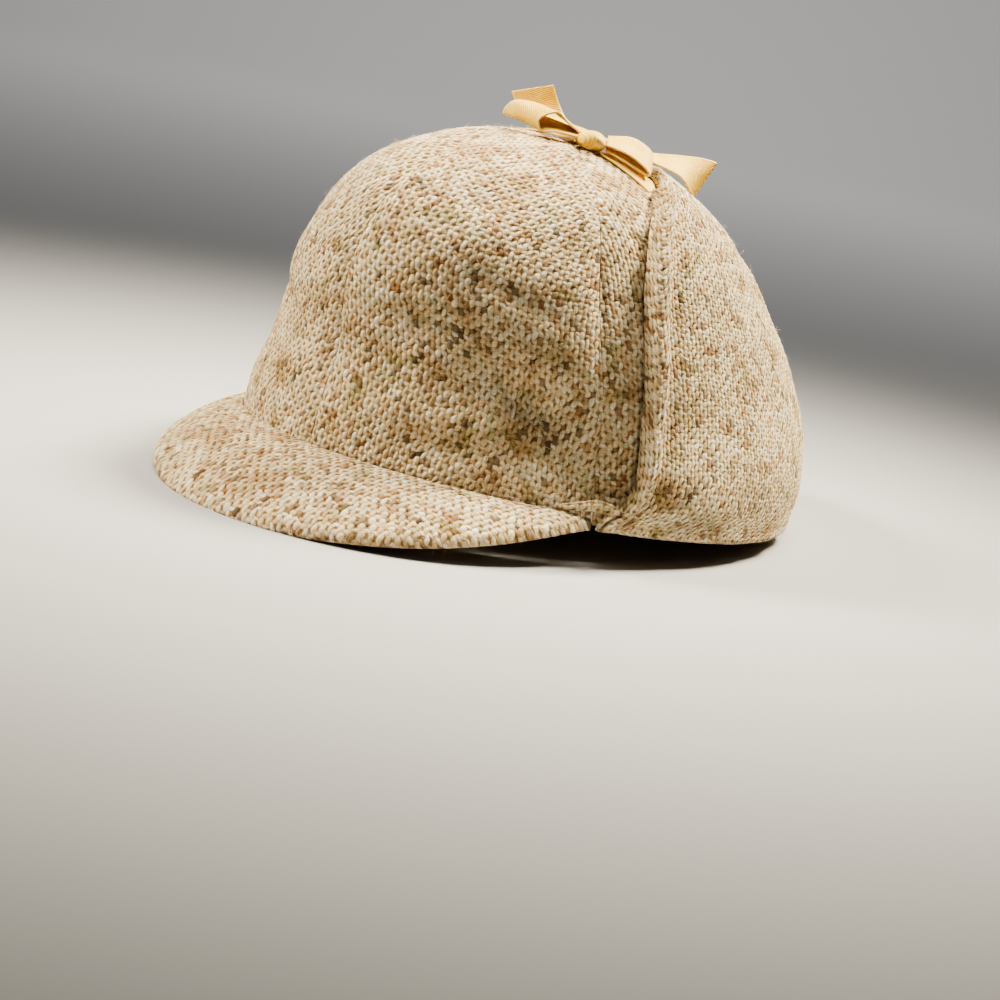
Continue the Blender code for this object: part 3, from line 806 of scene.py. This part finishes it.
def peak_skin(angle, rows_top, rows_round, rows_under):
    """The peak's cloth from the seam over the top, round the edge as a half circle and back underneath.

    The top runs straight out at full height. The edge turns half a circle whose radius is half of the
    thickness there, and the last rows run back under the peak by PEAK_UNDER or by half of the reach.
    """
    reach = peak_reach(angle)
    share = np.abs(angle) / PEAK_END_ANGLE
    radius = (PEAK_THICKNESS + (PEAK_END_THICKNESS - PEAK_THICKNESS) * share**6) / 2
    straight = reach - radius
    over = np.linspace(0.0, 1.0, rows_top + 1)[:, None]
    turn = np.linspace(0.0, np.pi, rows_round + 1)[1:, None]
    back = np.linspace(0.0, 1.0, rows_under + 1)[1:, None] * np.minimum(PEAK_UNDER, 0.5 * straight)
    out = np.concatenate([straight * over, straight + radius * np.sin(turn), straight - back]) / reach
    down = np.concatenate([0 * straight * over, radius * (1 - np.cos(turn)), 2 * radius + 0 * back])
    skin = peak_point(np.broadcast_to(angle, out.shape), out)
    skin[..., 2] -= down
    way = np.concatenate([straight * over, straight + radius * turn, straight + np.pi * radius + back])
    return skin, way


def peak(material, skin):
    """The peak: one cloth from the seam round the edge, and an under cloth that meets it below.

    Its yarns run nearly straight across and straight out, as in the flat crescent that it is cut from, and
    stand less high where they turn down at the edge.
    """
    share = INNER_SHARE
    edge = np.linspace(-PEAK_END_ANGLE, PEAK_END_ANGLE, 200)[None]
    girth = row_lengths(peak_point(edge, np.ones(edge.shape)))
    columns = counts_for(girth[0, -1], FINE_CELL * PEAK_CELL_STRETCH, share)
    rows_top, rows_round, rows_under = (counts_for(length, FINE_CELL, share) for length in
                                        (PEAK_REACH, np.pi / 2 * PEAK_THICKNESS, PEAK_UNDER))
    angle = np.linspace(-PEAK_END_ANGLE, PEAK_END_ANGLE, columns + 1)[None, :]
    outer, way = peak_skin(angle, rows_top, rows_round, rows_under)
    seam = peak_point(angle, 0 * angle)
    forward = -seam[..., 1] + way * np.abs(np.cos(np.radians(angle * 0.8)))
    yarns = yarn_counts(outer[..., 0] + 0.12 * forward, forward, FINE_CELL, 41)
    past_top = np.clip((way - peak_reach(angle) + PEAK_THICKNESS / 2) / PEAK_THICKNESS, 0.0, 1.0)
    fade = np.clip(way / EDGE_FADE, 0.0, 1.0) * (1 - PEAK_EDGE_FADE * past_top)
    outer = outer[::-1]
    outer = outer + grid_normal(outer) * (yarn_relief(yarns, FINE_CELL) * fade)[::-1, :, None]
    seen(outer, skin)
    under_way = np.linspace(0.0, 1.0, (rows_top + rows_round + rows_under) // share + 1)[:, None]
    coarse = angle[:, ::share]
    last = outer[0, ::share]
    seam_under = peak_point(coarse, 0 * coarse)[0] - [0.0, 0.0, PEAK_THICKNESS]
    inner = seam_under + (last - seam_under) * under_way[..., None] * 0.97
    points, quads, sides = cloth_wall(outer, inner[::-1], share)
    inner_yarns = np.stack([inner[..., 0], inner[..., 1]], -1)[::-1] / YARN_PITCH
    uv = np.concatenate([yarns[::-1].reshape(-1, 2), inner_yarns.reshape(-1, 2)])
    return piece("peak", points, [quads, sides], uv, material, "peak")


# The ear flaps

def flap_place(way, climb):
    """Angle and rise of a place on the left flap, from its share of the way back and of the way up."""
    top_rise = table_value(FLAP_TOP_EDGE, way)
    rise = climb * top_rise
    front = table_value(FLAP_FRONT_EDGE, climb * FLAP_TOP_EDGE[0, 1])
    back = 180.0 - SEAM_GAP / 2 / form_pull(180.0, rise)
    return front + (back - front) * way, rise


def edge_round(distance):
    """Share of the thickness near a rounded edge: a quarter circle that starts near the inner skin."""
    near = np.clip(distance / FLAP_ROUNDING, 0.0, 1.0)
    return 0.04 + 0.96 * np.sqrt(1 - (1 - near)**2)


def ridge_height(distance, width):
    """The raised hem of the flap's front edge: a flattened arch over its width, with a hollow behind it."""
    arch = FLAP_RIDGE * np.sqrt(np.clip(1 - np.abs(2 * distance / width - 1)**RIDGE_POWER, 0.0, 1.0))
    return arch - FLAP_VALLEY * np.exp(-((distance - width - VALLEY_BEHIND) / VALLEY_WIDTH)**2)


def even_steps(length, height, cell, share):
    """Distances up to length whose points on the curve height(distance) lie evenly, about a cell apart."""
    fine = np.concatenate([[0.0], np.geomspace(1e-6, length, 4000)])
    fine = np.sort(np.concatenate([fine, length - fine[:-1]]))
    run = np.concatenate([[0.0], np.cumsum(np.hypot(np.diff(fine), np.diff(height(fine))))])
    count = counts_for(run[-1], cell, share)
    return np.interp(np.linspace(0.0, run[-1], count + 1), run, fine)


def ear_flap(name, side, cell, seed, material, skin):
    """A turned-up ear flap: folded at the bottom, with a raised hem along its front edge.

    Its yarns lie closer behind the hem, where the cloth is drawn round the crown. Its hem keeps its width,
    and the rest of each level row is stretched to the centre of the back.
    """
    share = INNER_SHARE
    low = -FLAP_DROP / CROWN_HEIGHT
    fine = np.linspace(low, 1.0, CURVE_POINTS)
    angle, rise = flap_place(np.full(CURVE_POINTS, 0.3), fine)
    tall = row_lengths(off_crown(angle, rise, np.full(CURVE_POINTS, FLAP_THICKNESS))[None])[0]

    def side_section(distance):
        """The flap's thickness up its middle, rounded at its foot and its top."""
        return FLAP_THICKNESS * np.minimum(edge_round(distance), edge_round(tall[-1] - distance))

    def level_section(distance):
        """The flap's thickness round it, with its front edge and hem."""
        return FLAP_THICKNESS * edge_round(distance) + ridge_height(distance, RIDGE_WIDTH_TOP)

    steps = even_steps(tall[-1], side_section, cell, share)
    climb = np.interp(steps, tall, fine)[:, None]
    rows = len(steps) - 1
    ways = np.linspace(0.0, 1.0, 300)[None, :] + 0 * climb
    angle, rise = flap_place(ways, climb)
    girth = row_lengths(off_crown(angle, rise, np.full(angle.shape, FLAP_GAP + FLAP_THICKNESS)))
    middle = girth[rows // 2, -1]
    steps = even_steps(middle, level_section, cell, share)
    past = steps - HEM_ZONE
    way = np.stack([np.interp(np.where(past < 0, steps,
                                       HEM_ZONE + past * (row[-1] - HEM_ZONE) / (middle - HEM_ZONE)),
                              row, ways[0]) for row in girth])
    angle, rise = flap_place(way, climb)
    base = off_crown(angle, rise, np.full(angle.shape, FLAP_GAP + FLAP_THICKNESS))
    across = row_lengths(base)
    up = row_lengths(base.transpose(1, 0, 2)).T
    from_top = up[-1:] - up
    width = RIDGE_WIDTH_LOW + (RIDGE_WIDTH_TOP - RIDGE_WIDTH_LOW) * np.clip(climb, 0.0, 1.0)
    ends = np.minimum(edge_round(up), edge_round(from_top))
    swell = FLAP_SWELL * np.sin(np.pi * np.clip(climb * 2, 0.0, 1.0))**2 * np.sin(np.pi * way)
    soft = FLAP_SOFT * wander(across / FLAP_SOFT_WAVE, up / FLAP_SOFT_WAVE, seed + 7)
    stitch = -STITCH_DEPTH * np.exp(-((across - STITCH_INSET) / STITCH_WIDTH)**2) * (climb < STITCH_TOP)
    out = FLAP_GAP + FLAP_THICKNESS * np.minimum(edge_round(across), ends)
    forms = ridge_height(across, width) + swell + soft + stitch
    out = out + forms * ends * np.clip(across / EDGE_FADE, 0.0, 1.0)
    out = out - BACK_SEAM_DIP * SEAM_DIP * np.exp(-((across[:, -1:] - across) / SEAM_SOFTNESS)**2)
    smooth = off_crown(angle, rise, out)
    right, height = row_lengths(smooth), row_lengths(smooth.transpose(1, 0, 2)).T
    behind = right - width - FLAP_THICKNESS
    drawn = np.clip(DRAWN_PITCH + behind * DRAWN_SLOPE, DRAWN_PITCH, FREE_PITCH)
    pitch = np.where(behind < 0, YARN_PITCH, drawn)
    yarn_steps = np.diff(right, axis=1) / ((pitch[:, 1:] + pitch[:, :-1]) / 2)
    turned = np.concatenate([np.zeros((rows + 1, 1)), np.cumsum(yarn_steps, 1)], 1) * YARN_PITCH
    yarns = yarn_counts(turned + 0.12 * height, height * 1.08, cell, seed)
    outer = smooth + grid_normal(smooth) * yarn_relief(yarns, cell)[..., None]
    inner = off_crown(angle, rise, FLAP_GAP + 0 * out)[::share, ::share]
    if side < 0:
        outer, inner = (grid[:, ::-1] * (-1, 1, 1) for grid in (outer, inner))
        yarns = yarns[:, ::-1] * (-1, 1)
    seen(outer, skin)
    points, quads, sides = cloth_wall(outer, inner, share)
    uv = np.concatenate([yarns.reshape(-1, 2), yarns[::share, ::share].reshape(-1, 2)])
    return piece(name, points, [quads, sides], uv, material, name)


# The folded hem that peeps out between the peak's end and the flap: its middle line and its half height
HEM_FOLD = (
    # angle, rise, out, half height
    (53.5, 0.026, -0.0006, 0.0008),
    (56.5, 0.034, 0.0012, 0.0014),
    (59.5, 0.043, 0.0027, 0.0017),
    (61.8, 0.043, 0.0036, 0.0017),
    (64.0, 0.036, 0.0040, 0.0014),
    (66.0, 0.030, 0.0038, 0.0010),
)
HEM_FOLD_HALF = 0.0010
HEM_FOLD_GIRTH = 0.0013
HEM_FOLD_RELIEF = 0.7
HEM_FOLD_CELLS = (60, 32)


def hem_fold(name, side, material):
    """A bit of the crown's folded hem: a flat tube whose ring is an ellipse, along the rows of HEM_FOLD."""
    cells_along, cells_round = HEM_FOLD_CELLS
    angle, rise, out, half = smooth_rows(HEM_FOLD, np.linspace(0.0, 1.0, cells_along + 1)).T
    angle = side * angle
    centre = off_crown(angle, rise, out)
    away = crown_normal(angle, rise)
    upward = unit(crown_form(angle, rise + STEP) - crown_form(angle, rise - STEP))
    turn = np.linspace(-np.pi, np.pi, cells_round + 1)[:-1, None]
    lengths = row_lengths(centre[None])[0][:, None] + 0 * turn.T
    yarns = np.stack([HEM_FOLD_GIRTH * turn.T + 0 * lengths, lengths], -1) / YARN_PITCH
    relief = HEM_FOLD_RELIEF * yarn_relief(yarns, FINE_CELL)[..., None]
    tube = (centre[:, None] + away[:, None] * (HEM_FOLD_HALF + relief) * np.cos(turn)
            + upward[:, None] * (half[:, None, None] + relief) * np.sin(turn))
    index = np.arange(tube.shape[0] * tube.shape[1]).reshape(tube.shape[:2])
    after = np.roll(index, -1, 1)
    quads = np.stack([index[:-1], index[1:], after[1:], after[:-1]], -1).reshape(-1, 4)
    caps = np.stack([index[0], index[-1, ::-1]])
    if side < 0:
        quads, caps = quads[:, ::-1], caps[:, ::-1]
    return piece(name, tube.reshape(-1, 3), [quads, caps], yarns.reshape(-1, 2), material, None)


# The fuzz

FUZZ_COUNT = 4000
FUZZ_RINGS = 4
FUZZ_SIDES = 3
FUZZ_SEED = 77
FUZZ_LENGTH = (0.0012, 0.0036)
FUZZ_STANDING = 0.24
STANDING_LIFT = (0.0007, 0.0019)
LYING_LIFT = (0.0002, 0.0007)
FUZZ_ROOT = 0.0001
FUZZ_THICKNESS = 0.000060


def fuzz(skin, material):
    """Stray wool fibres: thin three-sided tubes, each a bent line that leaves the cloth at a random root.

    A fibre runs along the cloth by its length, bows up from it as a half sine and curls to one side with
    the square of the way along it. Most lie close, and some stand off.
    """
    rng = np.random.default_rng(FUZZ_SEED)
    points, normals = (np.concatenate(parts) for parts in zip(*skin))
    pick = rng.integers(len(points), size=FUZZ_COUNT)
    root, out = points[pick][:, None], normals[pick][:, None]
    way = unit(np.cross(out, rng.normal(size=(FUZZ_COUNT, 1, 3))))
    curl = np.cross(out, way)
    each = (FUZZ_COUNT, 1, 1)
    length = rng.uniform(*FUZZ_LENGTH, each)
    stands = rng.uniform(size=each) < FUZZ_STANDING
    lift = np.where(stands, rng.uniform(*STANDING_LIFT, each), rng.uniform(*LYING_LIFT, each))
    bend = rng.uniform(-0.8, 0.8, each) * length
    t = np.linspace(0.0, 1.0, FUZZ_RINGS)[None, :, None]
    rise = np.where(stands, t, np.sin(np.pi * t))
    line = root + out * (lift * rise - FUZZ_ROOT) + way * length * t + curl * bend * t**2
    ring = np.linspace(0.0, 2 * np.pi, FUZZ_SIDES + 1)[:FUZZ_SIDES, None]
    thick = FUZZ_THICKNESS * (1 - 0.6 * t) * rng.uniform(0.6, 1.2, each)
    spokes = out[:, :, None] * np.cos(ring) + curl[:, :, None] * np.sin(ring)
    tube = line[:, :, None] + thick[:, :, None] * spokes
    index = np.arange(FUZZ_COUNT * FUZZ_RINGS * FUZZ_SIDES).reshape(FUZZ_COUNT, FUZZ_RINGS, FUZZ_SIDES)
    after = np.roll(index, -1, 2)
    sides = np.stack([index[:, :-1], index[:, 1:], after[:, 1:], after[:, :-1]], -1).reshape(-1, 4)
    ends = np.concatenate([index[:, 0], index[:, -1, ::-1]])
    uv = np.zeros((index.size, 2))
    return piece("wool_fuzz", tube.reshape(-1, 3), [sides, ends], uv, material, None)


def wool(name):
    """Cream wool of the stray fibres."""
    return Nodes(name).finish({"Base Color": colour(246, 226, 190), "Roughness": 0.8,
                               "Specular IOR Level": 0.2})


# The ribbon

def knot_centre():
    """Centre of the knot, which sits on the crown a little to the left of the top."""
    angle, rise = crown_at(np.array(KNOT_LEFT), np.array(-CROWN_LEAN - KNOT_AHEAD))
    return off_crown(angle, rise, RIBBON_GAP + KNOT_HEIGHT / 2)


def knot_edge(way):
    """Offset in plan from the knot's centre to a ribbon's end beside its outline, for plan directions."""
    way = unit(way)
    radius = 1 / np.hypot(2 * way[..., :1] / KNOT_LENGTH, 2 * way[..., 1:] / KNOT_DEPTH)
    return way * (radius + RIBBON_GAP)


def ribbon_piece(name, sheet, thickness, lengths, material):
    """A ribbon from the grid of its middle surface: its two faces stand off it by half its thickness."""
    face = unit(np.cross(np.gradient(sheet, axis=1), np.gradient(sheet, axis=0)))
    half = face * thickness / 2
    points, quads, sides = cloth_wall(sheet + half, sheet - half, 1)
    across = np.linspace(0.0, 1.0, sheet.shape[1])[None, :] + 0 * lengths
    uv = np.stack([lengths, across], -1).reshape(-1, 2)
    made = piece(name, points, [quads, sides], np.concatenate([uv, uv]), material, name)
    return made


def bow_ribbon(name, material):
    """A loop or a tail of the bow: its width carried along the smooth curve through its rows.

    The left tail's end is cut in a zigzag of TEETH_COUNT teeth.
    """
    rows = np.array(BOW_RIBBONS[name])
    plan = rows[:, :2] * RIBBON_WIDTH
    ends = [0, -1] if "loop" in name else [0]
    plan[ends] = knot_edge(plan[ends])
    x, y = (knot_centre()[:2] + plan).T
    angle, rise = crown_at(x, y)
    height = crown_form(angle, rise)[:, 2] + rows[:, 2] * RIBBON_WIDTH
    path = np.column_stack([x, y, height, rows[:, 3:]])
    cells_along, cells_across = BOW_CELLS
    side = np.linspace(-0.5, 0.5, cells_across + 1)[None, :]
    teeth = TEETH_DEPTH * np.abs(2 * ((side * TEETH_COUNT) % 1.0) - 1) * (name == "ribbon_tail_left")
    along = smooth_rows(path, np.linspace(0.0, 1.0, cells_along + 1)[:, None] * (1 - teeth))
    sheet = along[..., :3] + unit(along[..., 3:6]) * along[..., 6:7] * RIBBON_WIDTH * side[..., None]
    lengths = row_lengths(sheet.transpose(1, 0, 2)).T
    return ribbon_piece(name, sheet, RIBBON_THICKNESS, lengths, material)


def tie(name, side, material):
    """The ribbon from a flap's top edge to the knot: a band pressed on the crown, gathered at the knot."""
    cells_along, cells_across = TIE_CELLS
    width = np.linspace(-0.5, 0.5, cells_across + 1) * RIBBON_WIDTH
    tip = crown_form(*flap_place(np.array([0.0, STEP]), np.array(1.0)))
    way_length = np.linalg.norm(tip[1] - tip[0]) / STEP
    angle, rise = flap_place((TIE_BACK + width) / way_length, np.array(1.0))
    border = crown_form(side * angle, rise)[:, :2]
    centre = knot_centre()[:2]
    toward = unit(centre - border.mean(0))
    start = border + toward * TIE_STEP
    across = np.array([toward[1], -toward[0]]) * side
    goal = centre + knot_edge(-toward) + across * width[:, None] * TIE_GATHER
    share = np.linspace(0.0, 1.0, cells_along + 1)[:, None, None]
    plan = start + (goal - start) * share
    angle, rise = crown_at(plan[..., 0], plan[..., 1])
    sheet = off_crown(angle, rise, np.full(angle.shape, RIBBON_GAP + RIBBON_THICKNESS / 2))[:, ::side]
    lengths = row_lengths(sheet.transpose(1, 0, 2)).T
    return ribbon_piece(name, sheet, RIBBON_THICKNESS, lengths, material)


def knot(material):
    """The knot: an egg of its three sizes, with slanting waves and one deep crease where its band wraps."""
    turns, levels = KNOT_CELLS
    length, depth, tall = np.array([KNOT_LENGTH, KNOT_DEPTH, KNOT_HEIGHT]) * KNOT_SWELL
    long = np.linspace(0.0, 2 * np.pi, turns, endpoint=False)[None, :]
    up = np.linspace(-np.pi / 2, np.pi / 2, levels + 1)[1:-1, None]
    crease = 1 + KNOT_WAVES * np.sin(4 * np.sin(long + 0.6) + 2.5 * up) * np.cos(up)
    off = (np.sin(long - 0.9) - 0.35 * np.sin(up)) / KNOT_CREASE_WIDTH
    crease = crease - KNOT_CREASE * np.exp(-off**2) * np.cos(up)
    x = length / 2 * np.cos(up) * np.cos(long) * crease
    y = depth / 2 * np.cos(up) * np.sin(long) * crease
    z = tall / 2 * np.sin(up) * crease + 0 * long
    ring = np.stack([x, y, z], -1).reshape(-1, 3)
    points = np.concatenate([ring, [[0, 0, -tall / 2], [0, 0, tall / 2]]]) + knot_centre() + KNOT_SHIFT
    index = np.arange(turns)
    after = (index + 1) % turns
    row = np.arange(levels - 2)[:, None] * turns
    quads = np.stack([row + index, row + after, row + turns + after, row + turns + index], -1).reshape(-1, 4)
    last = (levels - 2) * turns
    bottom = np.stack([after, index, np.full(turns, len(ring))], -1)
    top = np.stack([last + index, last + after, np.full(turns, len(ring) + 1)], -1)
    uv = np.column_stack([points[:, 1], (points[:, 0] - points[:, 0].min()) / KNOT_LENGTH])
    return piece("ribbon_knot", points, [quads, bottom, top], uv, material, "ribbon_knot")


def make_hat():
    """Every piece of the hat, each in its material."""
    cloth = tweed("cream_tweed")
    band = grosgrain("mustard_grosgrain")
    made = []
    panels = (
        ("crown_panel_front_left", 0, 1, FINE_CELL),
        ("crown_panel_side_left", 1, 1, SIDE_CELL),
        ("crown_panel_back_left", 2, 1, PLAIN_CELL),
        ("crown_panel_front_right", 0, -1, SIDE_CELL),
        ("crown_panel_side_right", 1, -1, FAR_CELL),
        ("crown_panel_back_right", 2, -1, PLAIN_CELL),
    )
    skin = []
    for number, (name, first, side, cell) in enumerate(panels):
        start, end = sorted((side * SEAM_ANGLES[first], side * SEAM_ANGLES[first + 1]))
        made.append(crown_panel(name, start, end, cell, 100 + 10 * number, cloth, skin))
    made.append(peak(cloth, skin))
    made.append(ear_flap("ear_flap_left", 1, SIDE_CELL, 200, cloth, skin))
    made.append(ear_flap("ear_flap_right", -1, FAR_CELL, 230, cloth, skin))
    made.append(hem_fold("hem_fold_left", 1, cloth))
    made.append(hem_fold("hem_fold_right", -1, cloth))
    made.append(fuzz(skin, wool("stray_wool")))
    ribbons = [knot(band), tie("ribbon_tie_left", 1, band), tie("ribbon_tie_right", -1, band)]
    ribbons += [bow_ribbon(name, band) for name in BOW_RIBBONS]
    return made + ribbons


# The photograph's view: the camera's direction and roll in the rim frame, its distance, the width of a
# pixel at the rim's centre in metres, and the pixel where that centre lies in the 1000-pixel picture
VIEW_AZIMUTH = 39.1
VIEW_ELEVATION = 8.2
VIEW_ROLL = 13.77
VIEW_DISTANCE = 0.79
PIXEL_WIDTH = 0.00035
PICTURE_SIDE = 1000.0
CENTRE_X = 515.2
CENTRE_Y = 455.7
SENSOR = 36.0


def photo_camera():
    """Camera at the photograph's angle to the hat, with just the shift that the framing needs."""
    az, el, roll = np.radians([VIEW_AZIMUTH, VIEW_ELEVATION, VIEW_ROLL])
    back = np.array([np.sin(az) * np.cos(el), -np.cos(az) * np.cos(el), np.sin(el)])
    level = np.array([np.cos(az), np.sin(az), 0.0])
    up = np.cross(back, level)
    right = level * np.cos(roll) + up * np.sin(roll)
    top = -level * np.sin(roll) + up * np.cos(roll)
    camera = bpy.data.cameras.new("photo_camera")
    camera.sensor_width = SENSOR
    camera.lens = SENSOR * VIEW_DISTANCE / PIXEL_WIDTH / PICTURE_SIDE
    camera.shift_x = (PICTURE_SIDE / 2 - CENTRE_X) / PICTURE_SIDE
    camera.shift_y = (CENTRE_Y - PICTURE_SIDE / 2) / PICTURE_SIDE
    camera.clip_start, camera.clip_end = 0.01, 20.0
    made = into_scene("photo_camera", camera)
    axes = Matrix(np.column_stack([right, top, back]).tolist()).to_4x4()
    axes.translation = (back * VIEW_DISTANCE).tolist()
    rest = Matrix.Translation((0.0, HAT_BACK, HAT_UP)) @ Matrix.Rotation(np.radians(HAT_LEAN), 4, "X")
    made.matrix_world = rest @ axes
    bpy.context.scene.camera = made


# The floor: the radius of its flat part and of its bend, and the top of its wall, in metres; its rings
FLOOR_FLAT, FLOOR_BEND, FLOOR_TOP = 2.2, 0.8, 2.0
FLOOR_RINGS = 12
FLOOR_SHADE = colour(170, 168, 165)


def studio_floor():
    """A plain pale floor that sweeps up all round, as a turned profile: flat, a quarter circle, a wall."""
    turn = np.linspace(0.0, np.pi / 2, 17)[1:]
    radius = np.concatenate([np.linspace(0.02, FLOOR_FLAT, FLOOR_RINGS),
                             FLOOR_FLAT + FLOOR_BEND * np.sin(turn), [FLOOR_FLAT + FLOOR_BEND]])
    height = np.concatenate([np.zeros(FLOOR_RINGS), FLOOR_BEND * (1 - np.cos(turn)), [FLOOR_TOP]])
    around = np.linspace(0.0, 2 * np.pi, 97)[:-1]
    points = np.stack([radius[:, None] * np.cos(around), radius[:, None] * np.sin(around),
                       height[:, None] + 0 * around], -1).reshape(-1, 3)
    index = np.arange(len(points)).reshape(len(radius), len(around))
    after = np.roll(index, -1, 1)
    quads = np.stack([index[:-1], after[:-1], after[1:], index[1:]], -1).reshape(-1, 4)
    middle = len(points)
    points = np.concatenate([points, [[0.0, 0.0, 0.0]]])
    cap = np.stack([np.full(len(around), middle), index[0], after[0]], -1)
    mesh = bpy.data.meshes.new("studio_floor")
    mesh.from_pydata(points.tolist(), [], cap.tolist() + quads[:, ::-1].tolist())
    mesh.shade_smooth()
    mesh.materials.append(Nodes("pale_floor").finish({"Base Color": FLOOR_SHADE, "Roughness": 0.9}))
    made = into_scene("studio_floor", mesh)


# Studio lights: where each is and what it faces, its size, its power in watts, how widely it spreads in
# degrees and its colour
LIGHTS = {
    # place, aim, size, power, spread, colour
    "key_behind": ((0.17, 0.63, 0.99), (0.0, 0.0, 0.055), 0.35, 2.45, 34.0, (1.0, 0.94, 0.79)),
    "key_above": ((0.03, 0.03, 1.20), (0.0, 0.0, 0.055), 0.35, 0.42, 34.0, (1.0, 0.94, 0.79)),
    "side_right": ((-0.64, -0.52, 0.86), (0.0, 0.0, 0.055), 0.35, 1.70, 40.0, (1.0, 0.93, 0.80)),
    "backdrop_wash": ((-1.00, 1.25, 1.90), (-1.50, 1.90, 0.0), 1.00, 26.0, 150.0, (1.0, 1.0, 1.0)),
}


def studio_lights():
    """Soft square lights that face the hat or the backdrop, a dim even surround and a firmer contrast."""
    for name, (place, aim, size, power, spread, tint) in LIGHTS.items():
        lamp = bpy.data.lights.new(name, "AREA")
        lamp.size = size
        lamp.energy = power
        lamp.spread = np.radians(spread)
        lamp.color = tint
        made = into_scene(name, lamp)
        away = np.array(place) - np.array(aim)
        made.location = place
        made.rotation_euler = Matrix(look_axes(away).tolist()).to_euler()
    world = bpy.data.worlds.new("soft_surround")
    bpy.context.scene.world = world
    world.use_nodes = True
    surround = world.node_tree.nodes["Background"].inputs
    surround["Color"].default_value = (0.92, 0.95, 1.0, 1.0)
    surround["Strength"].default_value = 0.10
    bpy.context.scene.view_settings.look = "AgX - Medium High Contrast"


def look_axes(away):
    """Axes, as columns, of something that looks along minus away, with its top up."""
    back = unit(away)
    right = unit(np.cross([0.0, 0.0, 1.0], back))
    return np.column_stack([right, np.cross(back, right), back])


make_hat()
photo_camera()
studio_floor()
studio_lights()
